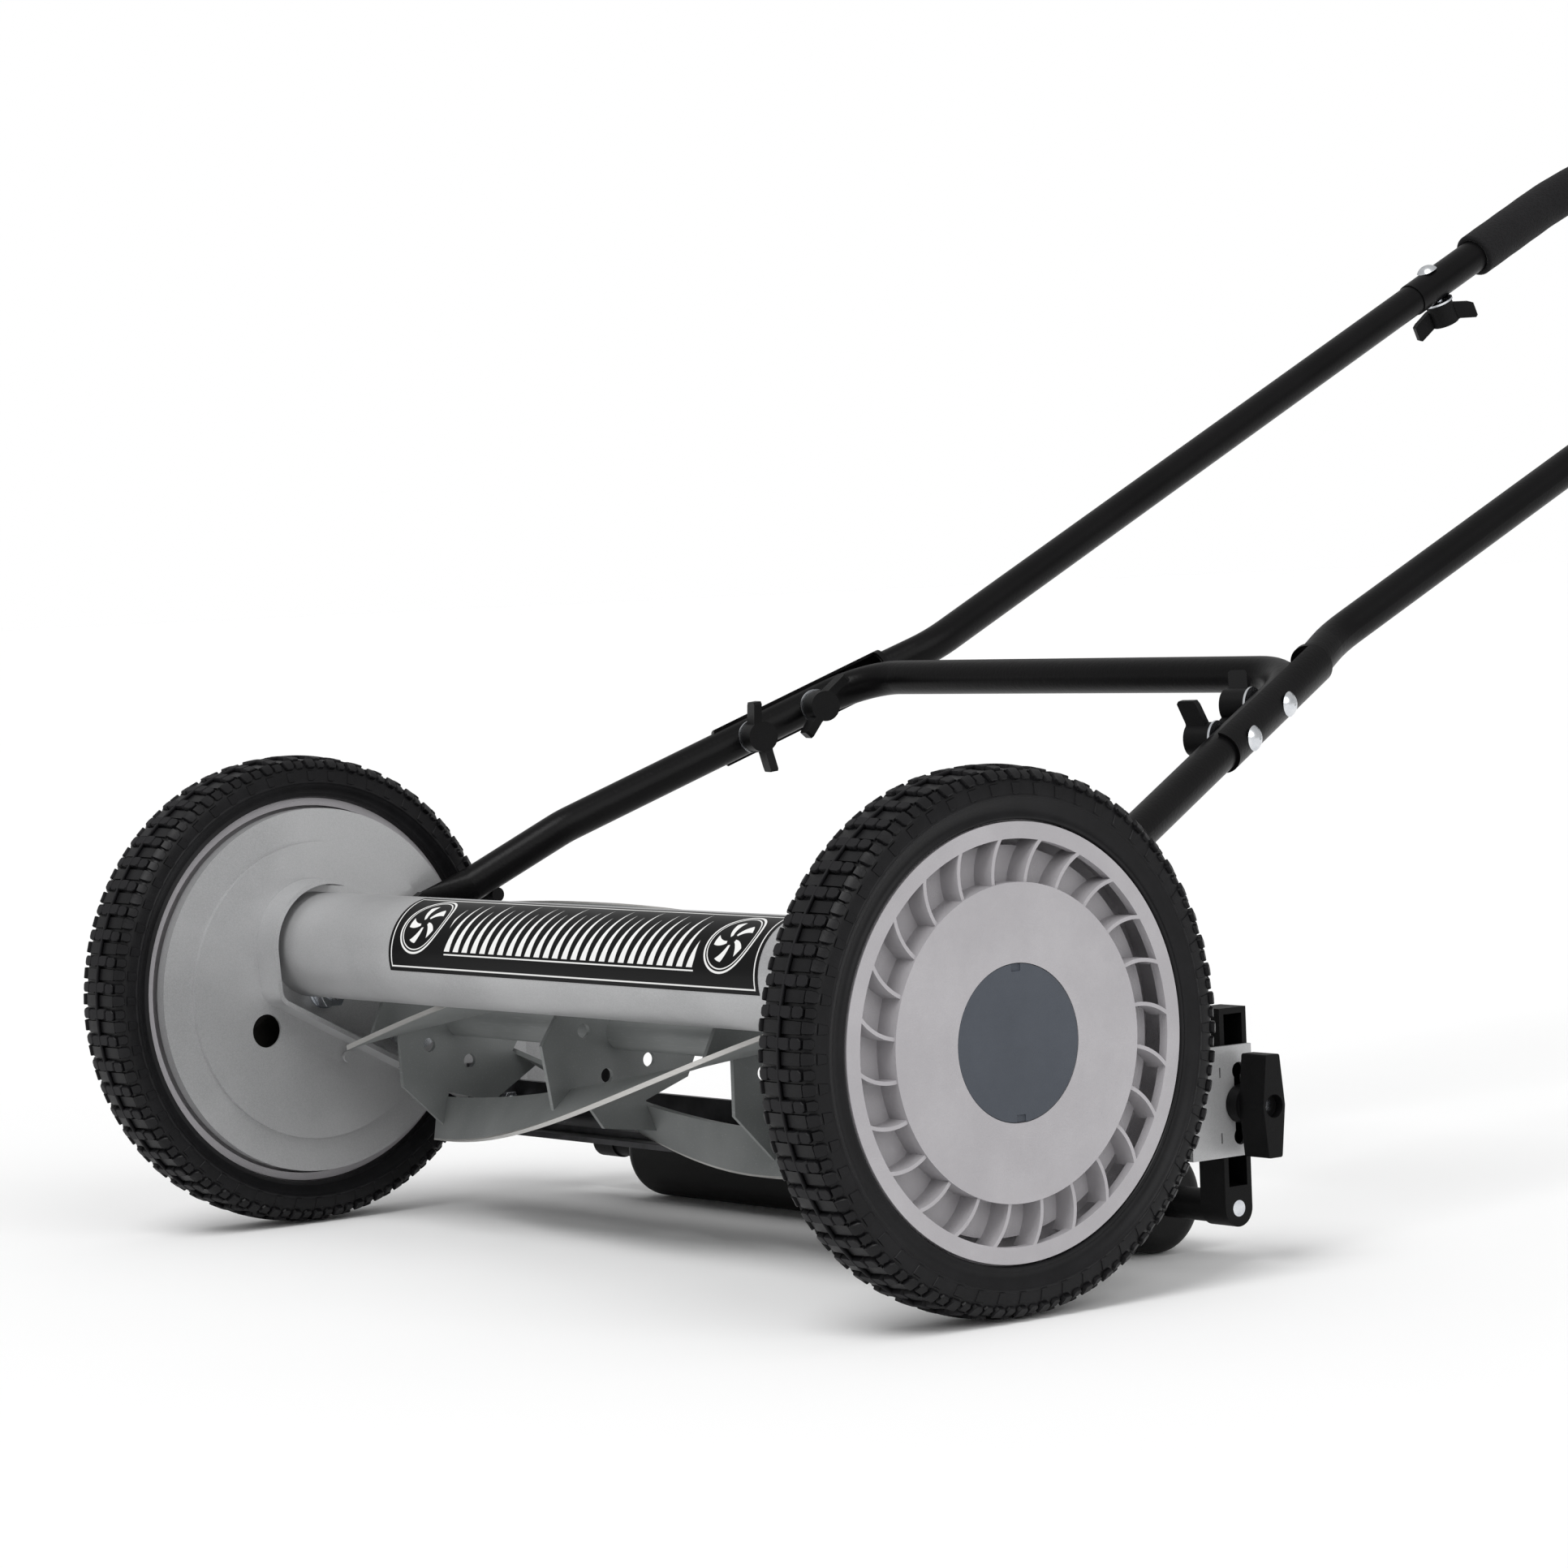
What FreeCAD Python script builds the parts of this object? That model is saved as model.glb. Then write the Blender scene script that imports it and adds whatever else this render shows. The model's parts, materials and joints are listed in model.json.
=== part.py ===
"""Push reel mower: five-blade reel between two side plates, wheel-driven through ring gears.

Millimetres.  +Z is up, the ground is Z = 0, and the mower travels towards -Y.  The origin is the
point of the ground below the wheel axles, half way between the wheels.  "Left" is the operator's
left hand, which is +X.  Each function builds one sub-part; the right-hand parts mirror the left.
"""
import FreeCAD
import Part
import math
import os

Vec = FreeCAD.Vector
X_AXIS = Vec(1, 0, 0)

# ---------------------------------------------------------------- driving dimensions
cut_width = 457.2            # length of the blades
wheel_radius = 127.0
tyre_width = 38.0
tyre_proud = 2.0                        # past the face of the rim

# side plates and what stands on them
plate_gap = 32.9             # from the end of a blade to the inner face of a side plate
plate_thickness = 2.5
flange_depth = 15.0
cover_thickness = 1.5
cover_radius = 98.5
cover_step = 2.5
cover_rim_depth = 5.0
cover_hole_radius = 9.0
cover_hole_offset = (-36.0, -19.3)      # from the axle, in Y and Z

# front bar: a half-round sheet, open to the rear so that the reel can turn behind it
bar_offset = (-4.7, 25.3)               # from the axle
bar_radius = 28.4
bar_thickness = 2.0
bar_start = 55.0                        # degrees from +Y towards +Z
bar_end = 258.0
label_ends = (-149.0, 159.0)
label_thickness = 0.25
label_start = 98.0
label_end = 195.0

# side plate outline: lobes given from the axle as (Y, Z, radius)
bar_lobe_radius = 35.5
corner_lobe = (-28.6, 3.7, 10.0)
reel_lobe_radius = 30.0
pivot_offset = (50.0, 25.0)
pivot_lobe_radius = 17.0
cutter_lobe = (49.0, -39.4, 17.0)        # Y and Z from the reel's axis, and radius
plate_neck = (43.0, 76.0, -48.4, -1.4)   # front zone of the joggle, from the reel: Y, Y, Z, Z
joggle_inward = 4.5
joggle_length = 17.0
rear_plate_margin = 8.9                 # plate behind the centre line of the height stations
rear_plate_below = 25.5
rear_plate_above = 28.5
hem_depth = 1.5
plate_arm_radius = 9.0                  # around the handle's stop stud
flange_top_behind = 11.0                # upper end of the flange, behind the bar's centre
flange_foot_ahead = 11.0                # lower end of the flange, ahead of the reel's centre
rivet_radius = 1.8
rivet_head_radius = 3.3
rivet_head_height = 1.5
rivet_polar = ((48.0, 95.0), (30.0, 176.0), (40.0, -70.0))    # radius and angle about the axle

# height adjustment
station_offset = (182.1, -48.5)         # middle height station, from the axle
station_pitch = 15.9
station_radius = 4.25
stud_radius = 3.1
slot_clearance = 0.1
lance_offset = 12.5                     # two small slits in front of the height stations
lance_width = 1.0
lance_length = 5.0

# gears
gear_module = 2.5
ring_teeth = 60
pinion_teeth = 12
mesh_angle = -18.07                     # from the axle to the reel, degrees
pressure_angle = 20.0
backlash = 0.3
ring_addendum = 1.4
ring_dedendum = 3.1
pinion_addendum = 2.4
pinion_dedendum = 3.1
pinion_width = 11.0
pinion_gap = 3.0                        # from the gear cover
pawl_length = 15.0
pawl_thickness = 3.0
pawl_play = 0.1
pawl_angle = 60.0                       # the way the pawls slide across the shaft, degrees
pawl_pocket_depth = 2.2
pawl_pocket_width = 4.0
ring_wall = 3.0
ring_gear_gap = 1.8                     # from the cover's ledge
ring_gear_depth = 13.2

# reel
reel_radius = 66.7
blade_depth = 24.0
blade_thickness = 2.6
blade_twist = 118.0                     # degrees over the cut width
blade_start = -99.0                     # where blade one begins at the right-hand end
blade_count = 5
blade_sections = 13
spider_positions = (-217.5, -72.5, 72.5, 217.5)
spider_thickness = 2.5
spider_tip_radius = 58.0
spider_root_radius = 40.0
spider_corner_radius = 51.0
spider_hole_radius = 3.8
spider_hole_circle = 24.0
shaft_radius = 7.95
shaft_sleeve_wall = 1.25
shaft_past_pinion = 2.6
shaft_groove_depth = 1.0
bearing_radius = 16.0
bearing_flange_radius = 19.0
running_clearance = 0.06

# bed knife and cutter bar
knife_angle = 22.0                      # behind the bottom of the reel
knife_clearance = 0.3
knife_thickness = 3.0
knife_width = 30.0
cutter_bar_thickness = 3.5
cutter_bar_setback = 10.0
cutter_bar_height = 20.0
cutter_tab_thickness = 3.0
cutter_tab_length = 34.0
cutter_tab_height = 32.0
cutter_lip = 14.0                       # bar behind the knife
knife_end_overhang = 4.0                # past the blades, each end
knife_screw_place = 0.62                # share of the knife's width
knife_screw_count = 5
knife_screw_radius = 3.0
knife_slot_half_width = 0.6
knife_slot_depth = 1.2

# wheels
axle_radius = 6.35
axle_nut_flats = 17.0
axle_nut_height = 8.0
axle_thread_radius = 5.0
axle_thread_length = 11.5               # inside the side plate
axle_shoulder_radius = 10.35
axle_washer_thickness = 1.5
axle_washer_radius = 10.0
clip_thickness = 1.2
clip_groove_radius = 5.2
clip_radius = 9.5
clip_opening = 6.0
hub_washer_radius = 12.0
hub_end_proud = 3.0                     # the hub stands out of the wheel's floor
hub_inner_gap = 6.5                     # from the gear cover to the hub's inner end
rim_gap = 1.8                           # between the cover's rim and the wheel
rim_seat_radius = 104.0
rim_wall = 4.0
ring_face_outer = 100.9
ring_face_inner = 93.1
rim_depth = 30.8
disc_radius = 73.3
disc_proud = 0.9
disc_thickness = 3.5
floor_depth = 12.0
floor_radius = 90.0
deep_floor_depth = 22.0
web_thickness = 2.5
hub_radius = 16.0
hub_rib_count = 6
vane_count = 24
vane_start = 8.6
vane_thickness = 1.8
vane_bend_radius = 30.0
cap_radius = 36.4
cap_thickness = 2.0
cap_clearance = 0.2
cap_skirt_radius = 29.8

# roller and its carriage
roller_radius = 27.0
roller_half_length = 205.0
roller_wall = 3.5
roller_axle_radius = 4.0
bracket_width = 18.0
bracket_depth = 17.6
bracket_gap = 0.4                       # to the rear zone of the side plate
bracket_above_station = 46.5
bracket_wall = 3.0
boss_radius = 8.0
bracket_pocket_above = 11.0             # pocket's floor above the roller axle
bracket_rib_below = (24.0, 21.0)        # rib across the pocket, below the station
bracket_rib_depth = 4.0
stud_head_radius = 6.5
stud_head_height = 3.5
roller_end_wall = 9.0

# height knob
knob_hub_radius = 9.5
knob_hub_length = 6.7
knob_bar_depth = 17.0
knob_bar_half_length = 25.0
knob_bar_half_width = 7.3
knob_bar_end_half_width = 4.5
knob_recess_radius = 5.6
knob_recess_depth = 5.0
stud_below_knob_face = 6.5
knob_edge_radius = 1.2
knob_gap = 0.3

# handle tubes
tube_radius = 9.525
tube_wall = 1.2
flat_end_thickness = 5.0
flat_end_half_width = 13.0
flat_end_gap = 0.5
flat_end_length = 24.0
flat_end_transition = 26.0
lower_bend = (32.0, 141.7, 80.0)        # inwards from the side plate, Y, and Z from the axle height
lower_bend_radius = 60.0
crossbar_corner = (174.9, 318.0, 154.0)
crossbar_bend_radius = 40.0
middle_bend = (160.0, 356.5, 170.6)
middle_bend_radius = 60.0
sleeve_start = (170.2, 765.7, 366.75)
swage_radius = 8.6
swage_length = 45.0
upper_radius = 10.2
loop_corner_distance = 250.0            # from the start of the upper tube to the loop's corner
loop_bend_radius = 118.0
foam_start_distance = 64.0
foam_thickness = 3.4
saddle_wall = 1.6
saddle_gap = 0.1
saddle_length = 106.0
saddle_clearance = 0.2
saddle_bolts_before_bend = (48.55, 7.55)
collar_length = 3.0          # full ring where the saddle meets the round tube
sleeve_bolt_distance = 21.0

# fasteners on the handle
bolt_radius = 3.0
bolt_head_radius = 6.5
bolt_head_height = 3.4
bolt_hole_radius = 3.2
washer_radius = 9.3
washer_thickness = 1.2
knob_boss_radius = 8.5
knob_boss_length = 14.0
wing_reach = 20.0
wing_thickness = 4.6
wing_gap = 0.3
wing_offset = 2.0                       # each wing's middle from the knob's, for an S shape
wing_turns = (75.0, 25.0, 25.0)         # lower, middle and upper knob, from the tube's direction
pivot_bolt_radius = 4.0
stop_radius = 4.0
stop_distance = 60.0
stop_gap = 0.15
stop_length = 14.0
stop_head_radius = 6.0
stop_head_height = 2.0
pivot_head_radius = 7.5
pivot_head_height = 2.6
pivot_nut_flats = 13.0
pivot_nut_height = 6.0
pivot_nut_gap = 0.5
cutter_bolt_head_radius = 6.0
cutter_bolt_head_height = 2.4
cutter_nut_flats = 10.0
cutter_nut_height = 5.0

# ---------------------------------------------------------------- places worked out from them
axle = (0.0, wheel_radius)


def from_axle(offset):
    """A point in the YZ plane, given from the axle."""
    return (axle[0] + offset[0], axle[1] + offset[1])


gear_distance = gear_module * (ring_teeth - pinion_teeth) / 2
ring_pitch_radius = gear_module * ring_teeth / 2
pinion_pitch_radius = gear_module * pinion_teeth / 2
mesh = math.radians(mesh_angle)
reel = from_axle((gear_distance * math.cos(mesh), gear_distance * math.sin(mesh)))
bar = from_axle(bar_offset)
pivot = from_axle(pivot_offset)
station = from_axle(station_offset)
roller = (station[0], roller_radius)

shaft_sleeve_radius = shaft_radius + shaft_sleeve_wall
cover_step_radius = gear_distance + bearing_flange_radius     # the step clears the reel's bearing

half_cut = cut_width / 2
plate_in = half_cut + plate_gap
plate_out = plate_in + plate_thickness
cover_out = plate_out + cover_thickness
cover_ledge = cover_out + cover_step
cover_tip = cover_ledge + cover_rim_depth
rim_in = cover_tip + rim_gap
rim_out = rim_in + rim_depth
disc_out = rim_out + disc_proud
tyre_out = rim_out + tyre_proud
tyre_in = tyre_out - tyre_width
floor_out = rim_out - floor_depth
deep_floor_out = rim_out - deep_floor_depth
rear_plate_in = plate_in - joggle_inward
rear_plate_out = rear_plate_in + plate_thickness
bracket_out = rear_plate_in - bracket_gap
bracket_in = bracket_out - bracket_depth
pinion_in = cover_out + pinion_gap
pinion_out = pinion_in + pinion_width
shaft_end = pinion_out + shaft_past_pinion
ring_gear_in = cover_ledge + ring_gear_gap
flat_end_out = plate_in - flat_end_gap
flat_end_middle = flat_end_out - flat_end_thickness / 2

knife_radius = reel_radius + knife_clearance
knife_edge = (reel[0] + knife_radius * math.sin(math.radians(knife_angle)),
              reel[1] - knife_radius * math.cos(math.radians(knife_angle)))
cutter_bar_front = knife_edge[0] + cutter_bar_setback
cutter_bar_rear = knife_edge[0] + knife_width + cutter_lip


# ---------------------------------------------------------------- helpers
def polar(centre, radius, degrees):
    """A point in the YZ plane, turned from +Y towards +Z about centre."""
    angle = math.radians(degrees)
    return (centre[0] + radius * math.cos(angle), centre[1] + radius * math.sin(angle))


def rod(x_from, x_to, radius, centre):
    """A cylinder along X."""
    return Part.makeCylinder(radius, x_to - x_from, Vec(x_from, centre[0], centre[1]), X_AXIS)


def ring(x_from, x_to, inner, outer, centre):
    """A tube along X."""
    return rod(x_from, x_to, outer, centre).cut(rod(x_from, x_to, inner, centre))


def block(x_from, x_to, y_from, y_to, z_from, z_to):
    """A box between two corners."""
    return Part.makeBox(x_to - x_from, y_to - y_from, z_to - z_from, Vec(x_from, y_from, z_from))


def slab(x_from, x_to, points):
    """A closed outline in the YZ plane, given thickness along X."""
    corners = [Vec(x_from, y, z) for y, z in points]
    face = Part.Face(Part.makePolygon(corners + corners[:1]))
    return face.extrude(Vec(x_to - x_from, 0, 0))


def band(x_from, x_to, inner, outer, start, end, centre):
    """A curved sheet along X: the part of a tube between two angles."""
    middle = (start + end) / 2
    points = {}
    for name, radius in (("in", inner), ("out", outer)):
        for place, angle in (("a", start), ("m", middle), ("b", end)):
            y, z = polar(centre, radius, angle)
            points[name + place] = Vec(x_from, y, z)
    outer_arc = Part.Arc(points["outa"], points["outm"], points["outb"]).toShape()
    inner_arc = Part.Arc(points["inb"], points["inm"], points["ina"]).toShape()
    first = Part.makeLine(points["outb"], points["inb"])
    last = Part.makeLine(points["ina"], points["outa"])
    face = Part.Face(Part.Wire([outer_arc, first, inner_arc, last]))
    return face.extrude(Vec(x_to - x_from, 0, 0))


def fuse(shapes):
    """One solid from solids that touch or overlap."""
    whole = shapes[0]
    if len(shapes) > 1:
        whole = shapes[0].fuse(shapes[1:])
    return whole.removeSplitter()


def link(x_from, x_to, first, second):
    """A flat plate around two circles (y, z, radius), with straight tangent edges."""
    (y1, z1, r1), (y2, z2, r2) = first, second
    along = math.atan2(z2 - z1, y2 - y1)
    reach = math.hypot(y2 - y1, z2 - z1)
    lean = math.acos((r1 - r2) / reach)
    corners = []
    for (y, z, r), side in (((y1, z1, r1), 1), ((y2, z2, r2), 1), ((y2, z2, r2), -1), ((y1, z1, r1), -1)):
        angle = along + side * lean
        corners.append((y + r * math.cos(angle), z + r * math.sin(angle)))
    pieces = [slab(x_from, x_to, corners)]
    pieces += [rod(x_from, x_to, r, (y, z)) for y, z, r in (first, second)]
    return fuse(pieces)


def hexagon(x_from, x_to, flats, centre):
    """A hexagonal prism along X, flats measured across."""
    corner_radius = flats / math.sqrt(3)
    return slab(x_from, x_to, [polar(centre, corner_radius, 60 * k) for k in range(6)])


def mirrored(shape):
    """The right-hand copy of a left-hand part."""
    return shape.mirror(Vec(0, 0, 0), X_AXIS)


def frame_at(origin, out, along):
    """A placement whose Z points along out and whose X lies near along."""
    z = Vec(out).normalize()
    y = z.cross(along).normalize()
    x = y.cross(z)
    matrix = FreeCAD.Matrix(x.x, y.x, z.x, origin.x,
                            x.y, y.y, z.y, origin.y,
                            x.z, y.z, z.z, origin.z,
                            0, 0, 0, 1)
    return FreeCAD.Placement(matrix)


def placed(shape, origin, out, along):
    """A shape built about the origin with +Z outwards, moved to its place."""
    copy = shape.copy()
    copy.Placement = frame_at(origin, out, along) * shape.Placement
    return copy


def route(points, radii):
    """A wire of straight runs, with an arc of the given radius at each inner point."""
    edges = []
    start = points[0]
    for before, corner, after, radius in zip(points, points[1:], points[2:], radii):
        back = (before - corner).normalize()
        forward = (after - corner).normalize()
        half_angle = back.getAngle(forward) / 2
        tangent = radius / math.tan(half_angle)
        middle_way = (back + forward).normalize()
        centre = corner + middle_way * (radius / math.sin(half_angle))
        arc_from = corner + back * tangent
        arc_to = corner + forward * tangent
        edges.append(Part.makeLine(start, arc_from))
        edges.append(Part.Arc(arc_from, centre - middle_way * radius, arc_to).toShape())
        start = arc_to
    edges.append(Part.makeLine(start, points[-1]))
    return Part.Wire(edges)


def swept(path, radius):
    """A round bar along a wire."""
    begin = path.OrderedEdges[0]
    tangent = begin.tangentAt(begin.FirstParameter)
    circle = Part.Wire(Part.makeCircle(radius, path.OrderedVertexes[0].Point, tangent))
    return path.makePipeShell([circle], True, False)


def left_right(point):
    """The same point on the left and on the right."""
    return point, Vec(-point.x, point.y, point.z)


# ---------------------------------------------------------------- front bar and side plates
def front_bar():
    return band(-plate_in, plate_in, bar_radius - bar_thickness, bar_radius, bar_start, bar_end, bar)


def label():
    return band(label_ends[0], label_ends[1], bar_radius, bar_radius + label_thickness,
                label_start, label_end, bar)


def plate_lobes(shrink=0.0):
    """The circles that the front zone of a side plate is drawn around."""
    corner_y, corner_z = from_axle(corner_lobe[:2])
    return {"bar": (bar[0], bar[1], bar_lobe_radius - shrink),
            "corner": (corner_y, corner_z, corner_lobe[2] - shrink),
            "reel": (reel[0], reel[1], reel_lobe_radius - shrink),
            "pivot": (pivot[0], pivot[1], pivot_lobe_radius - shrink),
            "cutter": (reel[0] + cutter_lobe[0], reel[1] + cutter_lobe[1], cutter_lobe[2] - shrink)}


def plate_front_zone(x_from, x_to, shrink, joined):
    """Links between named pairs of lobes, as one plate."""
    lobes = plate_lobes(shrink)
    return fuse([link(x_from, x_to, lobes[a], lobes[b]) for a, b in joined])


def stop_place():
    """Where the handle's stop stud stands: below the tube, a fixed way from the pivot."""
    rise = math.atan2(lower_bend[2] - pivot_offset[1], lower_bend[1] - pivot_offset[0])
    reach = tube_radius + stop_radius + stop_gap
    y = pivot[0] + stop_distance * math.cos(rise) + reach * math.sin(rise)
    z = pivot[1] + stop_distance * math.sin(rise) - reach * math.cos(rise)
    return (y, z)


def cutter_bolt_places():
    """The two bolts that hold one end of the cutter bar."""
    y = cutter_bar_rear - 10.0
    return ((y, knife_edge[1] + 9.0), (y - 14.0, knife_edge[1] + 23.0))


def side_plate():
    outline = (("bar", "corner"), ("corner", "reel"), ("bar", "pivot"), ("pivot", "reel"), ("reel", "cutter"))
    front = plate_front_zone(plate_in, plate_out, 0.0, outline)
    lobes = plate_lobes()
    filler = slab(plate_in, plate_out, [lobes[name][:2] for name in ("bar", "corner", "reel", "pivot")])
    stop_y, stop_z = stop_place()
    stop_arm = link(plate_in, plate_out, lobes["pivot"], (stop_y, stop_z, plate_arm_radius))
    stop_brace = link(plate_in, plate_out, (stop_y, stop_z, plate_arm_radius), lobes["reel"])
    neck_y0, neck_y1 = (reel[0] + offset for offset in plate_neck[:2])
    low, high = (reel[1] + offset for offset in plate_neck[2:])
    neck = block(plate_in, plate_out, neck_y0, neck_y1, low, high)
    neck_link = link(plate_in, plate_out, lobes["reel"], (neck_y0, high - 12.0, 12.0))
    joggle_points = [Vec(plate_in, neck_y1, low), Vec(plate_out, neck_y1, low),
                     Vec(rear_plate_out, neck_y1 + joggle_length, low),
                     Vec(rear_plate_in, neck_y1 + joggle_length, low)]
    joggle_face = Part.Face(Part.makePolygon(joggle_points + joggle_points[:1]))
    joggle = joggle_face.extrude(Vec(0, 0, high - low))
    rear = block(rear_plate_in, rear_plate_out, neck_y1 + joggle_length, station[0] + rear_plate_margin,
                 station[1] - rear_plate_below, station[1] + rear_plate_above)
    hem_low = station[1] - rear_plate_below
    hem = block(rear_plate_in - hem_depth, rear_plate_in,
                neck_y1 + joggle_length, station[0] - bracket_width / 2 - 1.0,
                hem_low, hem_low + plate_thickness)
    rim_outer = plate_front_zone(plate_in - flange_depth, plate_in, 0.0, outline[:2])
    rim_inner = plate_front_zone(plate_in - flange_depth, plate_in, plate_thickness, outline[:2])
    low_end = reel[1] - 2 * reel_lobe_radius
    high_end = bar[1] + 2 * bar_lobe_radius
    front_end = bar[0] - 3 * bar_lobe_radius
    top_end = bar[0] + flange_top_behind
    foot_end = reel[0] - flange_foot_ahead
    region = slab(plate_in - flange_depth, plate_in,
                  [(front_end, high_end), (top_end, high_end), (top_end, reel[1]),
                   (foot_end, reel[1]), (foot_end, low_end), (front_end, low_end)])
    flange = rim_outer.cut(rim_inner).common(region)
    plate = fuse([front, filler, stop_arm, stop_brace, neck, neck_link, joggle, rear, hem, flange])
    holes = [rod(plate_in, plate_out, axle_thread_radius, axle),
             rod(plate_in, plate_out, bearing_radius, reel),
             rod(plate_in, plate_out, pivot_bolt_radius, pivot),
             rod(plate_in, plate_out, stop_radius, (stop_y, stop_z))]
    holes += [rod(plate_in, plate_out, bolt_radius, place) for place in cutter_bolt_places()]
    holes += [rod(rear_plate_in, rear_plate_out, station_radius, (station[0], station[1] + k * station_pitch))
              for k in (-1, 0, 1)]
    slot = stud_radius + slot_clearance
    holes.append(block(rear_plate_in, rear_plate_out, station[0] - slot, station[0] + slot,
                       station[1] - station_pitch, station[1] + station_pitch))
    for k in (-1, 1):
        slit_y, slit_z = station[0] - lance_offset, station[1] + k * station_pitch
        holes.append(block(rear_plate_in, rear_plate_out, slit_y - lance_width / 2, slit_y + lance_width / 2,
                           slit_z - lance_length / 2, slit_z + lance_length / 2))
    holes += [rod(plate_in, plate_out, rivet_radius, place) for place in rivet_places()]
    return plate.cut(Part.makeCompound(holes))


def rivet_places():
    """Three rivets that hold a gear cover to its side plate."""
    return [polar(axle, radius, angle) for radius, angle in rivet_polar]


def gear_cover():
    web = rod(plate_out, cover_out, cover_step_radius, axle)
    riser = ring(plate_out, cover_ledge, cover_step_radius, cover_step_radius + cover_thickness, axle)
    ledge = ring(cover_ledge - cover_thickness, cover_ledge, cover_step_radius + cover_thickness,
                 cover_radius, axle)
    rim = ring(cover_ledge, cover_tip, cover_radius - cover_thickness, cover_radius, axle)
    cover = fuse([web, riser, ledge, rim])
    holes = [rod(plate_out, cover_out, axle_thread_radius, axle),
             rod(plate_out, cover_out, bearing_radius, reel),
             rod(plate_out, cover_out, pivot_bolt_radius, pivot),
             rod(plate_out, cover_out, cover_hole_radius, from_axle(cover_hole_offset))]
    holes += [rod(plate_out, cover_out, rivet_radius, place) for place in rivet_places()]
    return cover.cut(Part.makeCompound(holes))


def plate_rivets():
    """Rivets through side plate and cover."""
    rivets = []
    for place in rivet_places():
        shank = rod(plate_in, cover_out, rivet_radius, place)
        heads = [rod(plate_in - rivet_head_height, plate_in, rivet_head_radius, place),
                 rod(cover_out, cover_out + rivet_head_height, rivet_head_radius, place)]
        rivets.append(fuse([shank] + heads))
    return rivets


# ---------------------------------------------------------------- axles
axle_clip_in = floor_out + hub_end_proud + clip_thickness + 0.4


def wheel_axle():
    """A stud riveted into the side plate: thread, shoulder, journal and clip groove."""
    clip_groove = ring(axle_clip_in, axle_clip_in + clip_thickness, clip_groove_radius, axle_radius, axle)
    stud = fuse([rod(plate_in - axle_thread_length, cover_out, axle_thread_radius, axle),
                 rod(cover_out, axle_clip_in + 3 * clip_thickness, axle_radius, axle),
                 rod(cover_out, rim_in - 2 * rim_gap, axle_shoulder_radius, axle)])
    return stud.cut(clip_groove)


def axle_nut():
    nut_to = plate_in - axle_washer_thickness
    nut = hexagon(nut_to - axle_nut_height, nut_to, axle_nut_flats, axle)
    return nut.cut(rod(nut_to - axle_nut_height, nut_to, axle_thread_radius, axle))


def axle_washers():
    """One under the nut, one between the hub and the clip."""
    inner = ring(plate_in - axle_washer_thickness, plate_in, axle_thread_radius, axle_washer_radius, axle)
    outer_to = axle_clip_in - 0.2
    outer = ring(outer_to - clip_thickness, outer_to, axle_radius, hub_washer_radius, axle)
    return [inner, outer]


def open_clip(start, inner, outer, centre):
    """A spring clip: a flat ring with an opening to the rear."""
    clip = ring(start, start + clip_thickness, inner, outer, centre)
    return clip.cut(block(start, start + clip_thickness, centre[0], centre[0] + 2 * outer,
                          centre[1] - clip_opening / 2, centre[1] + clip_opening / 2))


def axle_clip():
    return open_clip(axle_clip_in, clip_groove_radius, clip_radius, axle)


# ---------------------------------------------------------------- wheels
def involute(radius, base_radius):
    """The involute function of the flank at a radius, zero below the base circle."""
    if radius <= base_radius:
        return 0.0
    angle = math.acos(base_radius / radius)
    return math.tan(angle) - angle


def gear_points(teeth, root_radius, tip_radius, thickness, phase, steps):
    """The outline of a gear in the YZ plane about (0, 0), one tooth centred on phase."""
    pitch_radius = gear_module * teeth / 2
    base_radius = pitch_radius * math.cos(math.radians(pressure_angle))
    at_pitch = thickness / (2 * pitch_radius) + involute(pitch_radius, base_radius)
    radii = [root_radius + (tip_radius - root_radius) * k / steps for k in range(steps + 1)]
    points = []
    for tooth in range(teeth):
        middle = phase + 2 * math.pi * tooth / teeth
        rising = [(r, middle - at_pitch + involute(r, base_radius)) for r in radii]
        falling = [(r, middle + at_pitch - involute(r, base_radius)) for r in reversed(radii)]
        points += [(r * math.cos(a), r * math.sin(a)) for r, a in rising + falling]
    return points


def gear_slab(x_from, x_to, centre, points):
    return slab(x_from, x_to, [(centre[0] + y, centre[1] + z) for y, z in points])


def ring_gear_space():
    """What the internal teeth leave open."""
    thickness = math.pi * gear_module / 2 + backlash / 2
    points = gear_points(ring_teeth, ring_pitch_radius - ring_addendum, ring_pitch_radius + ring_dedendum,
                         thickness, mesh, 2)
    return gear_slab(ring_gear_in, ring_gear_in + ring_gear_depth, axle, points)


def vane(index):
    """A curved fin from the disc to the outer ring: it leaves radially and bends clockwise."""
    start_angle = vane_start + index * 360.0 / vane_count
    reach = (ring_face_inner + 1.0 - (disc_radius - 1.0)) / vane_bend_radius
    sweep = math.degrees(math.asin(reach))
    start = polar(axle, disc_radius - 1.0, start_angle)
    centre = polar(start, vane_bend_radius, start_angle - 90.0)
    return band(floor_out - 1.0, rim_out, vane_bend_radius - vane_thickness / 2,
                vane_bend_radius + vane_thickness / 2, start_angle + 90.0 - sweep, start_angle + 90.0, centre)


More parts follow.
